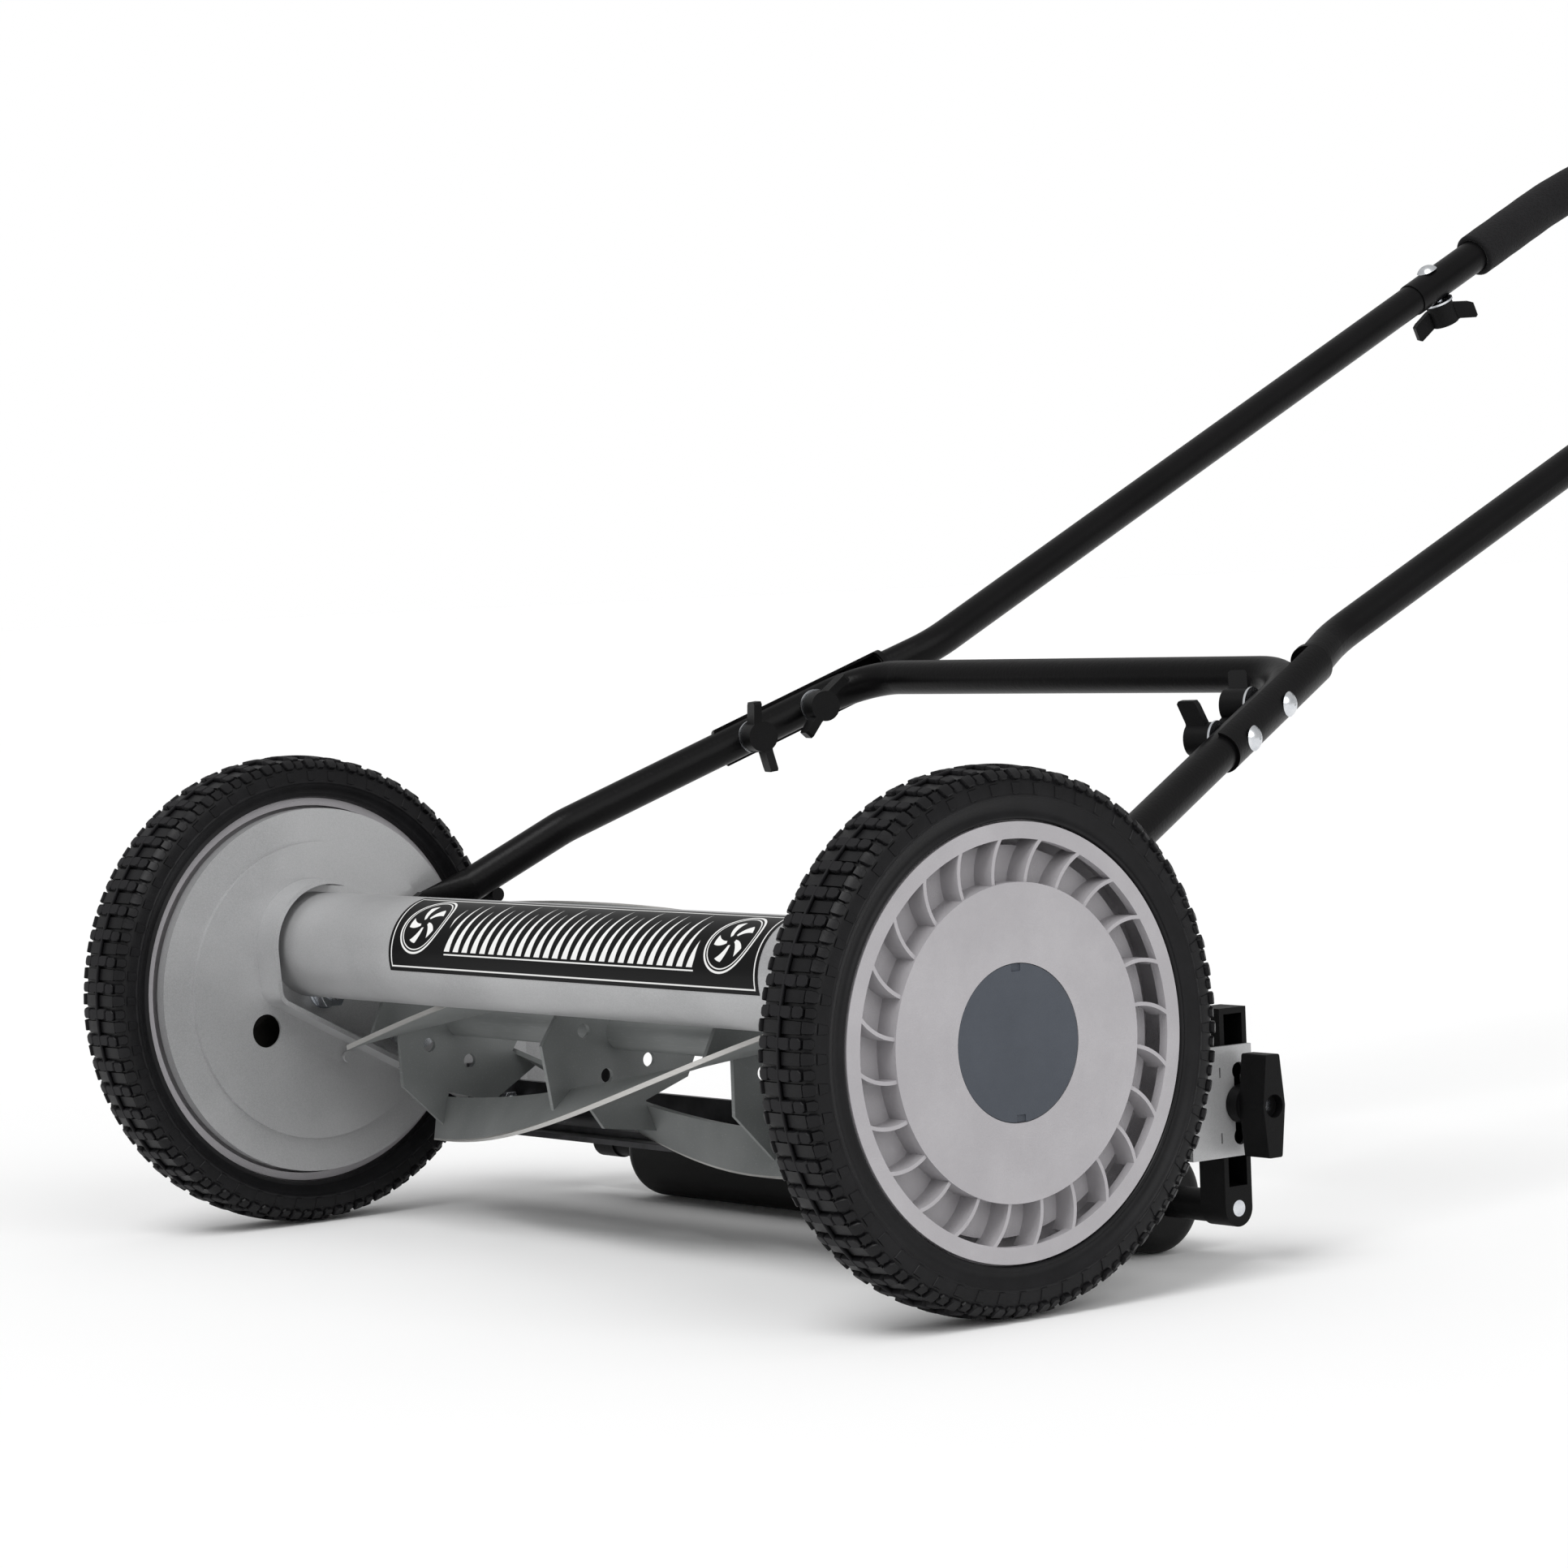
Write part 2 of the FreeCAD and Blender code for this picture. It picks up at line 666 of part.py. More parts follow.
def wheel_rim():
    gear_outer = ring_pitch_radius + ring_dedendum + ring_wall
    bore = axle_radius + running_clearance
    pieces = [ring(rim_in, rim_out - 4.1, rim_seat_radius - rim_wall, rim_seat_radius, axle),
              ring(rim_out - 5.1, rim_out, ring_face_inner, ring_face_outer, axle),
              ring(floor_out - web_thickness, floor_out, bore, floor_radius, axle),
              ring(deep_floor_out - web_thickness, floor_out, floor_radius - 2.0, floor_radius, axle),
              ring(deep_floor_out - web_thickness, deep_floor_out,
                   floor_radius - 2.0, rim_seat_radius - 1.0, axle),
              ring(floor_out - web_thickness, disc_out, disc_radius - 2.0, disc_radius, axle),
              ring(disc_out - disc_thickness, disc_out, cap_skirt_radius + cap_clearance, disc_radius, axle),
              ring(cover_out + hub_inner_gap, floor_out + hub_end_proud, bore, hub_radius, axle),
              ring(ring_gear_in, floor_out - web_thickness, ring_pitch_radius - ring_addendum - 1.0,
                   gear_outer, axle)]
    pieces += [vane(index) for index in range(vane_count)]
    rib = block(shaft_end + 2.0, floor_out, hub_radius - 1.0, ring_pitch_radius, -1.25, 1.25)
    for k in range(hub_rib_count):
        turned = rib.copy()
        turned.rotate(Vec(0, 0, 0), X_AXIS, 30.0 + k * 360.0 / hub_rib_count)
        turned.translate(Vec(0, axle[0], axle[1]))
        pieces.append(turned)
    rim = fuse(pieces)
    recess = rod(disc_out - cap_thickness, disc_out, cap_radius + cap_clearance, axle)
    return rim.cut(Part.makeCompound([recess, ring_gear_space()]))


def tyre():
    """A solid rubber tyre: square shoulders, with lips that hold the rim."""
    shoulder = 5.0
    crown = wheel_radius - 0.8
    lip = ring_face_outer
    profile = [(tyre_in + 2.0, rim_seat_radius + 0.6), (tyre_in, rim_seat_radius + 4.0),
               (tyre_in + 1.2, crown - shoulder), (tyre_in + shoulder, crown),
               ((tyre_in + tyre_out) / 2, wheel_radius), (tyre_out - shoulder, crown),
               (tyre_out - 1.2, crown - shoulder), (tyre_out, rim_seat_radius + 4.0),
               (tyre_out - 2.0, lip + 0.8), (rim_out - 0.6, lip), (rim_out - 4.1, lip),
               (rim_out - 4.1, rim_seat_radius), (rim_in, rim_seat_radius)]
    corners = [Vec(x, axle[0], axle[1] + r) for x, r in profile]
    face = Part.Face(Part.makePolygon(corners + corners[:1]))
    return face.revolve(Vec(0, axle[0], axle[1]), X_AXIS, 360)


def hub_cap():
    cap = fuse([rod(disc_out - cap_thickness, disc_out, cap_radius, axle),
                ring(disc_out - cap_thickness - 4.0, disc_out - cap_thickness, cap_skirt_radius - 2.2,
                     cap_skirt_radius, axle)])
    notches = [block(disc_out - 1.0, disc_out, axle[0] - 2.6, axle[0] + 2.6,
                     axle[1] + side * (cap_radius - 1.5) - 2.0, axle[1] + side * (cap_radius - 1.5) + 2.0)
               for side in (-1, 1)]
    return cap.cut(Part.makeCompound(notches))


# ---------------------------------------------------------------- reel and its drive
def pinion():
    thickness = math.pi * gear_module / 2 - backlash / 2
    points = gear_points(pinion_teeth, pinion_pitch_radius - pinion_dedendum,
                         pinion_pitch_radius + pinion_addendum, thickness, mesh, 5)
    gear = gear_slab(pinion_in, pinion_out, reel, points)
    openings = [rod(pinion_in, pinion_out, shaft_radius + running_clearance, reel)]
    half = pawl_pocket_width / 2
    for k in range(3):
        pocket = block(pinion_in, pinion_out, 0.0, shaft_radius + pawl_pocket_depth, -half, half)
        pocket.rotate(Vec(0, 0, 0), X_AXIS, pawl_angle + k * 120.0)
        pocket.translate(Vec(0, reel[0], reel[1]))
        openings.append(pocket)
    return gear.cut(fuse(openings))


def across_shaft(x_from, x_to, start, end, thickness):
    """A bar that runs across the shaft in the pawls' direction."""
    bar_across = block(x_from, x_to, start, end, -thickness / 2, thickness / 2)
    bar_across.rotate(Vec(0, 0, 0), X_AXIS, pawl_angle)
    bar_across.translate(Vec(0, reel[0], reel[1]))
    return bar_across


def pawl(nose):
    """A sliding key across the shaft; nose is how far it stands out of the shaft."""
    return across_shaft(pinion_in + 1.0, pinion_out - 1.0, shaft_radius + nose - pawl_length,
                        shaft_radius + nose, pawl_thickness)


def pawl_slot():
    return across_shaft(pinion_in + 1.0 - pawl_play, pinion_out - 1.0 + pawl_play, -shaft_radius - 1.0,
                        shaft_radius + 1.0, pawl_thickness + 2 * pawl_play)


def reel_shaft():
    sleeve_half = max(spider_positions) - spider_thickness / 2
    shaft = fuse([rod(-shaft_end, shaft_end, shaft_radius, reel),
                  rod(-sleeve_half, sleeve_half, shaft_sleeve_radius, reel)])
    groove = ring(pinion_out + 0.2, pinion_out + 0.2 + clip_thickness, shaft_radius - shaft_groove_depth,
                  shaft_radius + 1.0, reel)
    cuts = [groove, pawl_slot()]
    cuts += [mirrored(cut) for cut in cuts]
    return shaft.cut(Part.makeCompound(cuts))


def pinion_clip():
    return open_clip(pinion_out + 0.2, shaft_radius - shaft_groove_depth, shaft_radius + 3.0, reel)


def reel_bearing():
    bore = shaft_radius + running_clearance
    return fuse([ring(plate_in - 3.0, plate_in, bore, bearing_flange_radius, reel),
                 ring(plate_in, cover_out + 1.0, bore, bearing_radius, reel)])


def blade_angle(x, index):
    """Where a blade crosses the plane at x, degrees from +Y towards +Z."""
    return blade_start - blade_twist * (x + half_cut) / cut_width + index * 360.0 / blade_count


def spider(x):
    """A five-armed plate: each arm has a radial edge for its blade and a long back edge."""
    points = []
    half_blade = math.degrees(blade_thickness / 2 / spider_tip_radius)
    for index in range(blade_count):
        angle = blade_angle(x, index) - half_blade
        points.append(polar(reel, spider_tip_radius, angle))
        points.append(polar(reel, spider_root_radius, angle))
        points.append(polar(reel, spider_corner_radius, angle + 180.0 / blade_count))
    plate = slab(x - spider_thickness / 2, x + spider_thickness / 2, points)
    bore = shaft_sleeve_radius if abs(x) < max(spider_positions) else shaft_radius
    holes = [rod(x - spider_thickness, x + spider_thickness, bore, reel)]
    for index in range(blade_count):
        place = polar(reel, spider_hole_circle, blade_angle(x, index) + 25.0)
        holes.append(rod(x - spider_thickness, x + spider_thickness, spider_hole_radius, place))
    blades = [blade_section_solid(x, index) for index in range(blade_count)]
    return plate.cut(Part.makeCompound(holes)).cut(Part.makeCompound(blades))


def blade_wire(x, index):
    """The blade's rectangular section at x."""
    angle = blade_angle(x, index)
    out = Vec(0, math.cos(math.radians(angle)), math.sin(math.radians(angle)))
    across = Vec(0, -out.z, out.y)
    centre = Vec(x, reel[0], reel[1])
    corners = [centre + out * radius + across * offset
               for radius, offset in ((reel_radius - blade_depth, -blade_thickness / 2),
                                      (reel_radius, -blade_thickness / 2),
                                      (reel_radius, blade_thickness / 2),
                                      (reel_radius - blade_depth, blade_thickness / 2))]
    return Part.makePolygon(corners + corners[:1])


def blade_section_solid(x, index):
    """A short length of blade around x, as a cutter for the spiders."""
    return Part.makeLoft([blade_wire(x - 3.0, index), blade_wire(x + 3.0, index)], True, True)


def blade(index):
    """A helical strip from end to end of the reel."""
    stations = [-half_cut + cut_width * k / (blade_sections - 1) for k in range(blade_sections)]
    return Part.makeLoft([blade_wire(x, index) for x in stations], True, False)


# ---------------------------------------------------------------- cutter bar
def cutter_bar():
    top = knife_edge[1] + cutter_bar_thickness
    tab_in = plate_in - cutter_tab_thickness
    leg = block(-plate_in, plate_in, cutter_bar_front, cutter_bar_rear, knife_edge[1], top)
    back = block(-plate_in, plate_in, cutter_bar_rear - cutter_bar_thickness, cutter_bar_rear,
                 knife_edge[1], knife_edge[1] + cutter_bar_height)
    tabs = [block(tab_in, plate_in, cutter_bar_rear - cutter_tab_length, cutter_bar_rear, knife_edge[1],
                  knife_edge[1] + cutter_tab_height)]
    tabs.append(mirrored(tabs[0]))
    holes = [Part.makeCylinder(knife_screw_radius, cutter_bar_thickness,
                               Vec(x, knife_screw_y(), knife_edge[1]))
             for x in knife_screw_places()]
    for place in cutter_bolt_places():
        hole = rod(tab_in, plate_in, bolt_radius, place)
        holes += [hole, mirrored(hole)]
    return fuse([leg, back] + tabs).cut(Part.makeCompound(holes))


def knife_screw_places():
    pitch = cut_width / knife_screw_count
    return [pitch * (k - (knife_screw_count - 1) / 2) for k in range(knife_screw_count)]


def knife_screw_y():
    return knife_edge[0] + knife_width * knife_screw_place


def bed_knife():
    low = knife_edge[1] - knife_thickness
    half_length = half_cut + knife_end_overhang
    knife = block(-half_length, half_length, knife_edge[0], knife_edge[0] + knife_width, low, knife_edge[1])
    seats = [knife_screw_body(x) for x in knife_screw_places()]
    return knife.cut(Part.makeCompound(seats))


def knife_screw_body(x):
    """A countersunk screw, head down."""
    low = knife_edge[1] - knife_thickness
    place = Vec(x, knife_screw_y(), low)
    head = Part.makeCone(2 * knife_screw_radius, knife_screw_radius, knife_thickness * 0.8, place)
    return head.fuse(Part.makeCylinder(knife_screw_radius, knife_thickness + cutter_bar_thickness, place))


def bed_knife_screws():
    low = knife_edge[1] - knife_thickness
    reach = 2 * knife_screw_radius
    slots = [block(x - reach, x + reach,
                   knife_screw_y() - knife_slot_half_width, knife_screw_y() + knife_slot_half_width,
                   low, low + knife_slot_depth)
             for x in knife_screw_places()]
    return [knife_screw_body(x).cut(slot) for x, slot in zip(knife_screw_places(), slots)]


def cutter_bar_bolts():
    """Round heads outside, nuts inside."""
    bolts = []
    tab_in = plate_in - cutter_tab_thickness
    for place in cutter_bolt_places():
        bolts.append(fuse([rod(tab_in - cutter_nut_height - 1.0, plate_out, bolt_radius, place),
                           rod(plate_out, plate_out + cutter_bolt_head_height,
                               cutter_bolt_head_radius, place),
                           hexagon(tab_in - cutter_nut_height, tab_in, cutter_nut_flats, place)]))
    return bolts


# ---------------------------------------------------------------- roller and height adjustment
def roller_bracket():
    top = station[1] + bracket_above_station
    half = bracket_width / 2
    body = fuse([block(bracket_in, bracket_out, station[0] - half, station[0] + half, roller[1], top),
                 rod(bracket_in, bracket_out, half, roller),
                 rod(roller_half_length + 3.0, bracket_in, boss_radius, roller)])
    pocket = block(bracket_in + bracket_wall, bracket_out, station[0] - half + bracket_wall,
                   station[0] + half - bracket_wall, roller[1] + bracket_pocket_above, top - bracket_wall)
    rib = block(bracket_in + bracket_wall, bracket_out - bracket_rib_depth, station[0] - half,
                station[0] + half, station[1] - bracket_rib_below[0], station[1] - bracket_rib_below[1])
    holes = [rod(bracket_in, bracket_out, stud_radius, station),
             rod(roller_half_length, bracket_out, roller_axle_radius, roller)]
    return fuse([body.cut(pocket), rib]).cut(Part.makeCompound(holes))


def bracket_stud():
    """The stud that the height knob screws onto; it slides in the plate's slot."""
    return fuse([rod(bracket_in - stud_head_height, bracket_in, stud_head_radius, station),
                 rod(bracket_in, knob_face() - stud_below_knob_face, stud_radius, station)])


def roller_axle():
    return rod(-bracket_out, bracket_out, roller_axle_radius, roller)


def rear_roller():
    outer = rod(-roller_half_length, roller_half_length, roller_radius, roller)
    rims = [edge for edge in outer.Edges if edge.Curve.TypeId == "Part::GeomCircle"]
    outer = outer.makeFillet(roller_end_wall, rims)
    cavity_half = roller_half_length - roller_end_wall
    cavity = rod(-cavity_half, cavity_half, roller_radius - roller_wall, roller)
    bore = rod(-roller_half_length, roller_half_length, roller_axle_radius + running_clearance, roller)
    return outer.cut(fuse([cavity, bore]))


def knob_face():
    """The outer face of the height knob's bar."""
    return rear_plate_out + knob_gap + knob_hub_length + knob_bar_depth


def height_knob():
    hub_from = rear_plate_out + knob_gap
    bar_from = hub_from + knob_hub_length
    y, z = station
    outline = [(y - knob_bar_end_half_width, z - knob_bar_half_length),
               (y + knob_bar_end_half_width, z - knob_bar_half_length),
               (y + knob_bar_half_width, z),
               (y + knob_bar_end_half_width, z + knob_bar_half_length),
               (y - knob_bar_end_half_width, z + knob_bar_half_length),
               (y - knob_bar_half_width, z)]
    grip = slab(bar_from, knob_face(), outline)
    sharp = [edge for edge in grip.Edges if abs(edge.Length - knob_bar_depth) < 0.01]
    knob = fuse([grip.makeFillet(knob_edge_radius, sharp), rod(hub_from, bar_from, knob_hub_radius, station)])
    recess_from = knob_face() - knob_recess_depth
    openings = [rod(hub_from, recess_from, stud_radius + running_clearance, station),
                rod(recess_from, knob_face(), knob_recess_radius, station)]
    return knob.cut(fuse(openings))


# ---------------------------------------------------------------- handle
def handle_point(place):
    """A point of the left-hand handle, its height given from the axle."""
    return Vec(place[0], place[1], axle[1] + place[2])


flat_rise = math.atan2(lower_bend[2] - pivot_offset[1], lower_bend[1] - pivot_offset[0])
flat_along = Vec(0, math.cos(flat_rise), math.sin(flat_rise))
pivot_point = Vec(flat_end_middle, pivot[0], pivot[1])
round_from = pivot_point + flat_along * (flat_end_length + flat_end_transition)
round_from.x = plate_in - 2 * flat_end_gap - tube_radius
bend_point = handle_point((plate_in - lower_bend[0],) + lower_bend[1:])
corner_point = handle_point(crossbar_corner)
straight_along = (corner_point - bend_point).normalize()
corner_half_angle = (Vec(-1, 0, 0).getAngle(straight_along * -1)) / 2
corner_tangent = crossbar_bend_radius / math.tan(corner_half_angle)
saddle_outer = tube_radius + saddle_gap + saddle_wall
saddle_past_bend = math.sqrt((crossbar_bend_radius + tube_radius) ** 2
                             - (crossbar_bend_radius - saddle_outer - saddle_clearance) ** 2)
saddle_to = corner_point - straight_along * (corner_tangent - saddle_past_bend)
saddle_from = saddle_to - straight_along * saddle_length
saddle_out = straight_along.cross(Vec(0, 0, 1)).normalize()
sleeve_point = handle_point(sleeve_start)
middle_bend_point = handle_point(middle_bend)
upper_along = (sleeve_point - middle_bend_point).normalize()
upper_down = upper_along.cross(X_AXIS).normalize()
loop_corner = sleeve_point + upper_along * loop_corner_distance
foam_point = sleeve_point + upper_along * foam_start_distance


def lower_route(begin):
    """The lower handle's centre line, from the left end round to the right end."""
    left = [begin, bend_point, corner_point]
    points = left + [left_right(point)[1] for point in reversed(left)]
    radii = [lower_bend_radius, crossbar_bend_radius, crossbar_bend_radius, lower_bend_radius]
    return route(points, radii)


def flattened_end():
    """The pressed end: a flat eye, widening from the round tube."""
    eye = Part.makeCylinder(flat_end_half_width, flat_end_thickness,
                            Vec(flat_end_out - flat_end_thickness, pivot[0], pivot[1]), X_AXIS)
    half = flat_end_thickness / 2
    side = Vec(0, -flat_along.z, flat_along.y)
    start = pivot_point
    end = pivot_point + flat_along * flat_end_length
    corners = [start + side * flat_end_half_width, end + side * flat_end_half_width,
               end - side * flat_end_half_width, start - side * flat_end_half_width]
    corners = [corner - X_AXIS * half for corner in corners]
    strap = Part.Face(Part.makePolygon(corners + corners[:1])).extrude(X_AXIS * flat_end_thickness)
    tube_way = (bend_point - round_from).normalize()
    flat_wire = Part.Wire(Part.Ellipse(end + side * flat_end_half_width, end + X_AXIS * half, end).toShape())
    first = tube_way.cross(Vec(0, 0, 1)).normalize()
    second = tube_way.cross(first).normalize()
    normal = first.cross(second)
    round_edge = Part.makeCircle(tube_radius, round_from, normal)
    seam = round_edge.Vertexes[0].Point - round_from
    turn = math.atan2(seam.cross(second).dot(normal), seam.dot(second))
    round_edge.rotate(round_from, normal, math.degrees(turn))
    round_wire = Part.Wire(round_edge)
    taper = Part.makeLoft([flat_wire, round_wire], True, True)
    return fuse([eye, strap, taper])


def bolt_places():
    """Each handle bolt: a point on the tube's axis, outward direction, tube direction, and reaches."""
    places = []
    for distance in saddle_bolts_before_bend:
        origin = corner_point - straight_along * (corner_tangent + distance)
        places.append((origin, saddle_out, straight_along, saddle_outer, tube_radius))
    origin = sleeve_point + upper_along * sleeve_bolt_distance
    places.append((origin, upper_down * -1, upper_along, upper_radius, upper_radius))
    return places


def bolt_hole_cutters(indices):
    cutters = []
    for index in indices:
        origin, out, along, head_reach, knob_reach = bolt_places()[index]
        drill = Part.makeCylinder(bolt_hole_radius, 60.0, Vec(0, 0, -30.0))
        hole = placed(drill, origin, out, along)
        cutters += [hole, mirrored(hole)]
    return Part.makeCompound(cutters)


def lower_handle():
    outer = swept(lower_route(round_from), tube_radius)
    inner = swept(lower_route(round_from), tube_radius - tube_wall)
    end = flattened_end()
    eye_hole = rod(flat_end_out - flat_end_thickness, flat_end_out,
                   pivot_bolt_radius + running_clearance, pivot)
    ends = [end.cut(eye_hole)]
    ends.append(mirrored(ends[0]))
    return fuse([outer.cut(inner)] + ends).cut(bolt_hole_cutters((0, 1)))


def middle_tube():
    """Round above; below, opened out into a half-round saddle on the lower handle."""
    way = (middle_bend_point - saddle_to).normalize()
    body = swept(route([saddle_to, middle_bend_point, sleeve_point], [middle_bend_radius]), tube_radius)
    bore_points = [saddle_to - way * 2.0, middle_bend_point, sleeve_point + upper_along]
    bore = swept(route(bore_points, [middle_bend_radius]), tube_radius - tube_wall)
    neck = Part.makeCylinder(swage_radius, swage_length, sleeve_point, upper_along)
    neck_bore = Part.makeCylinder(swage_radius - tube_wall, swage_length, sleeve_point, upper_along)
    outer = Part.makeCylinder(saddle_outer, saddle_length, saddle_from, straight_along)
    inner = Part.makeCylinder(tube_radius + saddle_gap, saddle_length, saddle_from, straight_along)
    keep = Part.makeBox(60.0, 60.0, saddle_length, Vec(-30.0, 1.5, 0))
    keep.Placement = frame_at(saddle_from, straight_along, saddle_out.cross(straight_along))
    saddle = outer.cut(inner).common(keep)
    collar = Part.makeCylinder(saddle_outer, collar_length, saddle_to, straight_along)
    tube = fuse([body, collar]).cut(bore)
    return fuse([tube, saddle, neck.cut(neck_bore)]).cut(bolt_hole_cutters((0, 1, 2)))


def upper_route(begin):
    points = [begin, loop_corner, left_right(loop_corner)[1], left_right(begin)[1]]
    return route(points, [loop_bend_radius, loop_bend_radius])


def upper_handle():
    outer = swept(upper_route(sleeve_point), upper_radius)
    inner = swept(upper_route(sleeve_point), swage_radius + 0.1)
    return outer.cut(inner).cut(bolt_hole_cutters((2,)))


def foam_grip():
    path = upper_route(foam_point)
    return swept(path, upper_radius + foam_thickness).cut(swept(path, upper_radius + 0.05))


def handle_bolt(head_reach, knob_reach):
    """A carriage bolt with a domed head, about the origin, head towards +Z."""
    stem_to = -knob_reach - washer_thickness - knob_boss_length + 2.0
    stem = Part.makeCylinder(bolt_radius, head_reach - stem_to, Vec(0, 0, stem_to))
    ball_radius = (bolt_head_radius ** 2 + bolt_head_height ** 2) / (2 * bolt_head_height)
    ball = Part.makeSphere(ball_radius, Vec(0, 0, head_reach + bolt_head_height - ball_radius))
    cap = ball.common(Part.makeCylinder(bolt_head_radius + 1.0, bolt_head_height + 1.0,
                                        Vec(0, 0, head_reach)))
    return stem.fuse(cap).removeSplitter()


def handle_washer(knob_reach):
    washer_low = -knob_reach - washer_thickness - 0.05
    washer = Part.makeCylinder(washer_radius, washer_thickness, Vec(0, 0, washer_low))
    return washer.cut(Part.makeCylinder(bolt_radius, 60.0, Vec(0, 0, -50.0)))


def wing_knob(knob_reach, turn):
    """A two-winged nut about the origin, opening towards +Z."""
    top = -knob_reach - washer_thickness - wing_gap
    boss = Part.makeCylinder(knob_boss_radius, knob_boss_length, Vec(0, 0, top - knob_boss_length))
    low = top - knob_boss_length
    wing = [(0, top - 3.0), (knob_boss_radius, top - 3.0),
            (wing_reach - 2.0, top - 7.0), (wing_reach, top - 8.5),
            (wing_reach, top - 17.0), (wing_reach - 1.5, top - 18.0),
            (knob_boss_radius, low), (0, low)]
    corners = [Vec(x, wing_offset - wing_thickness / 2, z) for x, z in wing]
    first = Part.Face(Part.makePolygon(corners + corners[:1])).extrude(Vec(0, wing_thickness, 0))
    second = first.copy()
    second.rotate(Vec(0, 0, 0), Vec(0, 0, 1), 180)
    bore = Part.makeCylinder(bolt_radius + running_clearance, knob_boss_length - 1.5, Vec(0, 0, low + 1.5))
    knob = fuse([boss, first, second]).cut(bore)
    knob.rotate(Vec(0, 0, 0), Vec(0, 0, 1), turn)
    return knob


def pivot_bolt():
    bolt_from = plate_in - flat_end_thickness - pivot_nut_height - 3.0
    return fuse([rod(bolt_from, cover_out, pivot_bolt_radius, pivot),
                 rod(cover_out, cover_out + pivot_head_height, pivot_head_radius, pivot)])


def pivot_nut():
    nut_to = flat_end_out - flat_end_thickness - pivot_nut_gap
    nut = hexagon(nut_to - pivot_nut_height, nut_to, pivot_nut_flats, pivot)
    return nut.cut(rod(nut_to - pivot_nut_height, nut_to, pivot_bolt_radius, pivot))


def handle_stop():
    place = stop_place()
    return fuse([rod(plate_in - stop_length, plate_out, stop_radius, place),
                 rod(plate_out, plate_out + stop_head_height, stop_head_radius, place)])


# ---------------------------------------------------------------- nodes
def both(shapes):
    """Left-hand solids with their right-hand copies, as one group."""
    return Part.makeCompound(list(shapes) + [mirrored(shape) for shape in shapes])


nodes = {
    "front_bar": front_bar(),
    "label": label(),
    "axle_nuts": both([axle_nut()]),
    "axle_washers": both(axle_washers()),
    "axle_clips": both([axle_clip()]),
    "plate_rivets": both(plate_rivets()),
    "cutter_bar": cutter_bar(),
    "bed_knife": bed_knife(),
    "bed_knife_screws": Part.makeCompound(bed_knife_screws()),
    "cutter_bar_bolts": both(cutter_bar_bolts()),
    "pivot_bolts": both([pivot_bolt()]),
    "pivot_nuts": both([pivot_nut()]),
    "handle_stops": both([handle_stop()]),
    "reel_shaft": reel_shaft(),
    "reel_spiders": Part.makeCompound([spider(x) for x in spider_positions]),
    "pawls": Part.makeCompound([pawl(1.5), mirrored(pawl(-0.4))]),
    "pinion_clips": both([pinion_clip()]),
    "roller_axle": roller_axle(),
    "bracket_studs": both([bracket_stud()]),
    "rear_roller": rear_roller(),
    "lower_handle": lower_handle(),
    "upper_handle": upper_handle(),
    "foam_grip": foam_grip(),
}

paired = {"side_plate": side_plate, "gear_cover": gear_cover, "wheel_axle": wheel_axle,
          "reel_bearing": reel_bearing, "wheel_rim": wheel_rim, "tyre": tyre, "hub_cap": hub_cap,
          "pinion": pinion, "roller_bracket": roller_bracket, "height_knob": height_knob,
          "middle_tube": middle_tube}
for name, build in paired.items():
    left_hand = build()
    nodes["left_" + name] = left_hand
    nodes["right_" + name] = mirrored(left_hand)

for number in range(blade_count):
    nodes["blade_%d" % (number + 1)] = blade(number)

bolt_shapes = []
washer_shapes = []
for place, turn, place_name in zip(bolt_places(), wing_turns, ("lower", "middle", "upper")):
    origin, out, along, head_reach, knob_reach = place
    bolt_shapes.append(placed(handle_bolt(head_reach, knob_reach), origin, out, along))
    washer_shapes.append(placed(handle_washer(knob_reach), origin, out, along))
    left_knob = placed(wing_knob(knob_reach, turn), origin, out, along)
    nodes["left_%s_wing_knob" % place_name] = left_knob
    nodes["right_%s_wing_knob" % place_name] = mirrored(left_knob)
nodes["handle_bolts"] = both(bolt_shapes)
nodes["handle_washers"] = both(washer_shapes)

os.makedirs("parts", exist_ok=True)
for name, shape in nodes.items():
    for solid in shape.Solids:
        if not solid.isValid() or solid.Volume <= 0:
            print("bad solid in", name, solid.isValid(), solid.Volume)
    shape.exportStep("parts/%s.step" % name)
    box = shape.BoundBox
    print("%-26s solids %2d  volume %9.0f  X %7.1f %7.1f  Y %7.1f %7.1f  Z %7.1f %7.1f" % (
        name, len(shape.Solids), shape.Volume, box.XMin, box.XMax, box.YMin, box.YMax, box.ZMin, box.ZMax))
print(len(nodes), "nodes")
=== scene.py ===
# %% [markdown]
# # A push reel mower
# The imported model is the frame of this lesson: every bracket, tube and gear is already in place, in
# metres, and rides on the body that it belongs to.  What is left is what a maker would call the
# finish.  The tyres get their tread, the moulded parts their rounded edges, the grip its soft foam,
# and every surface its paint, plating, rubber or plastic.

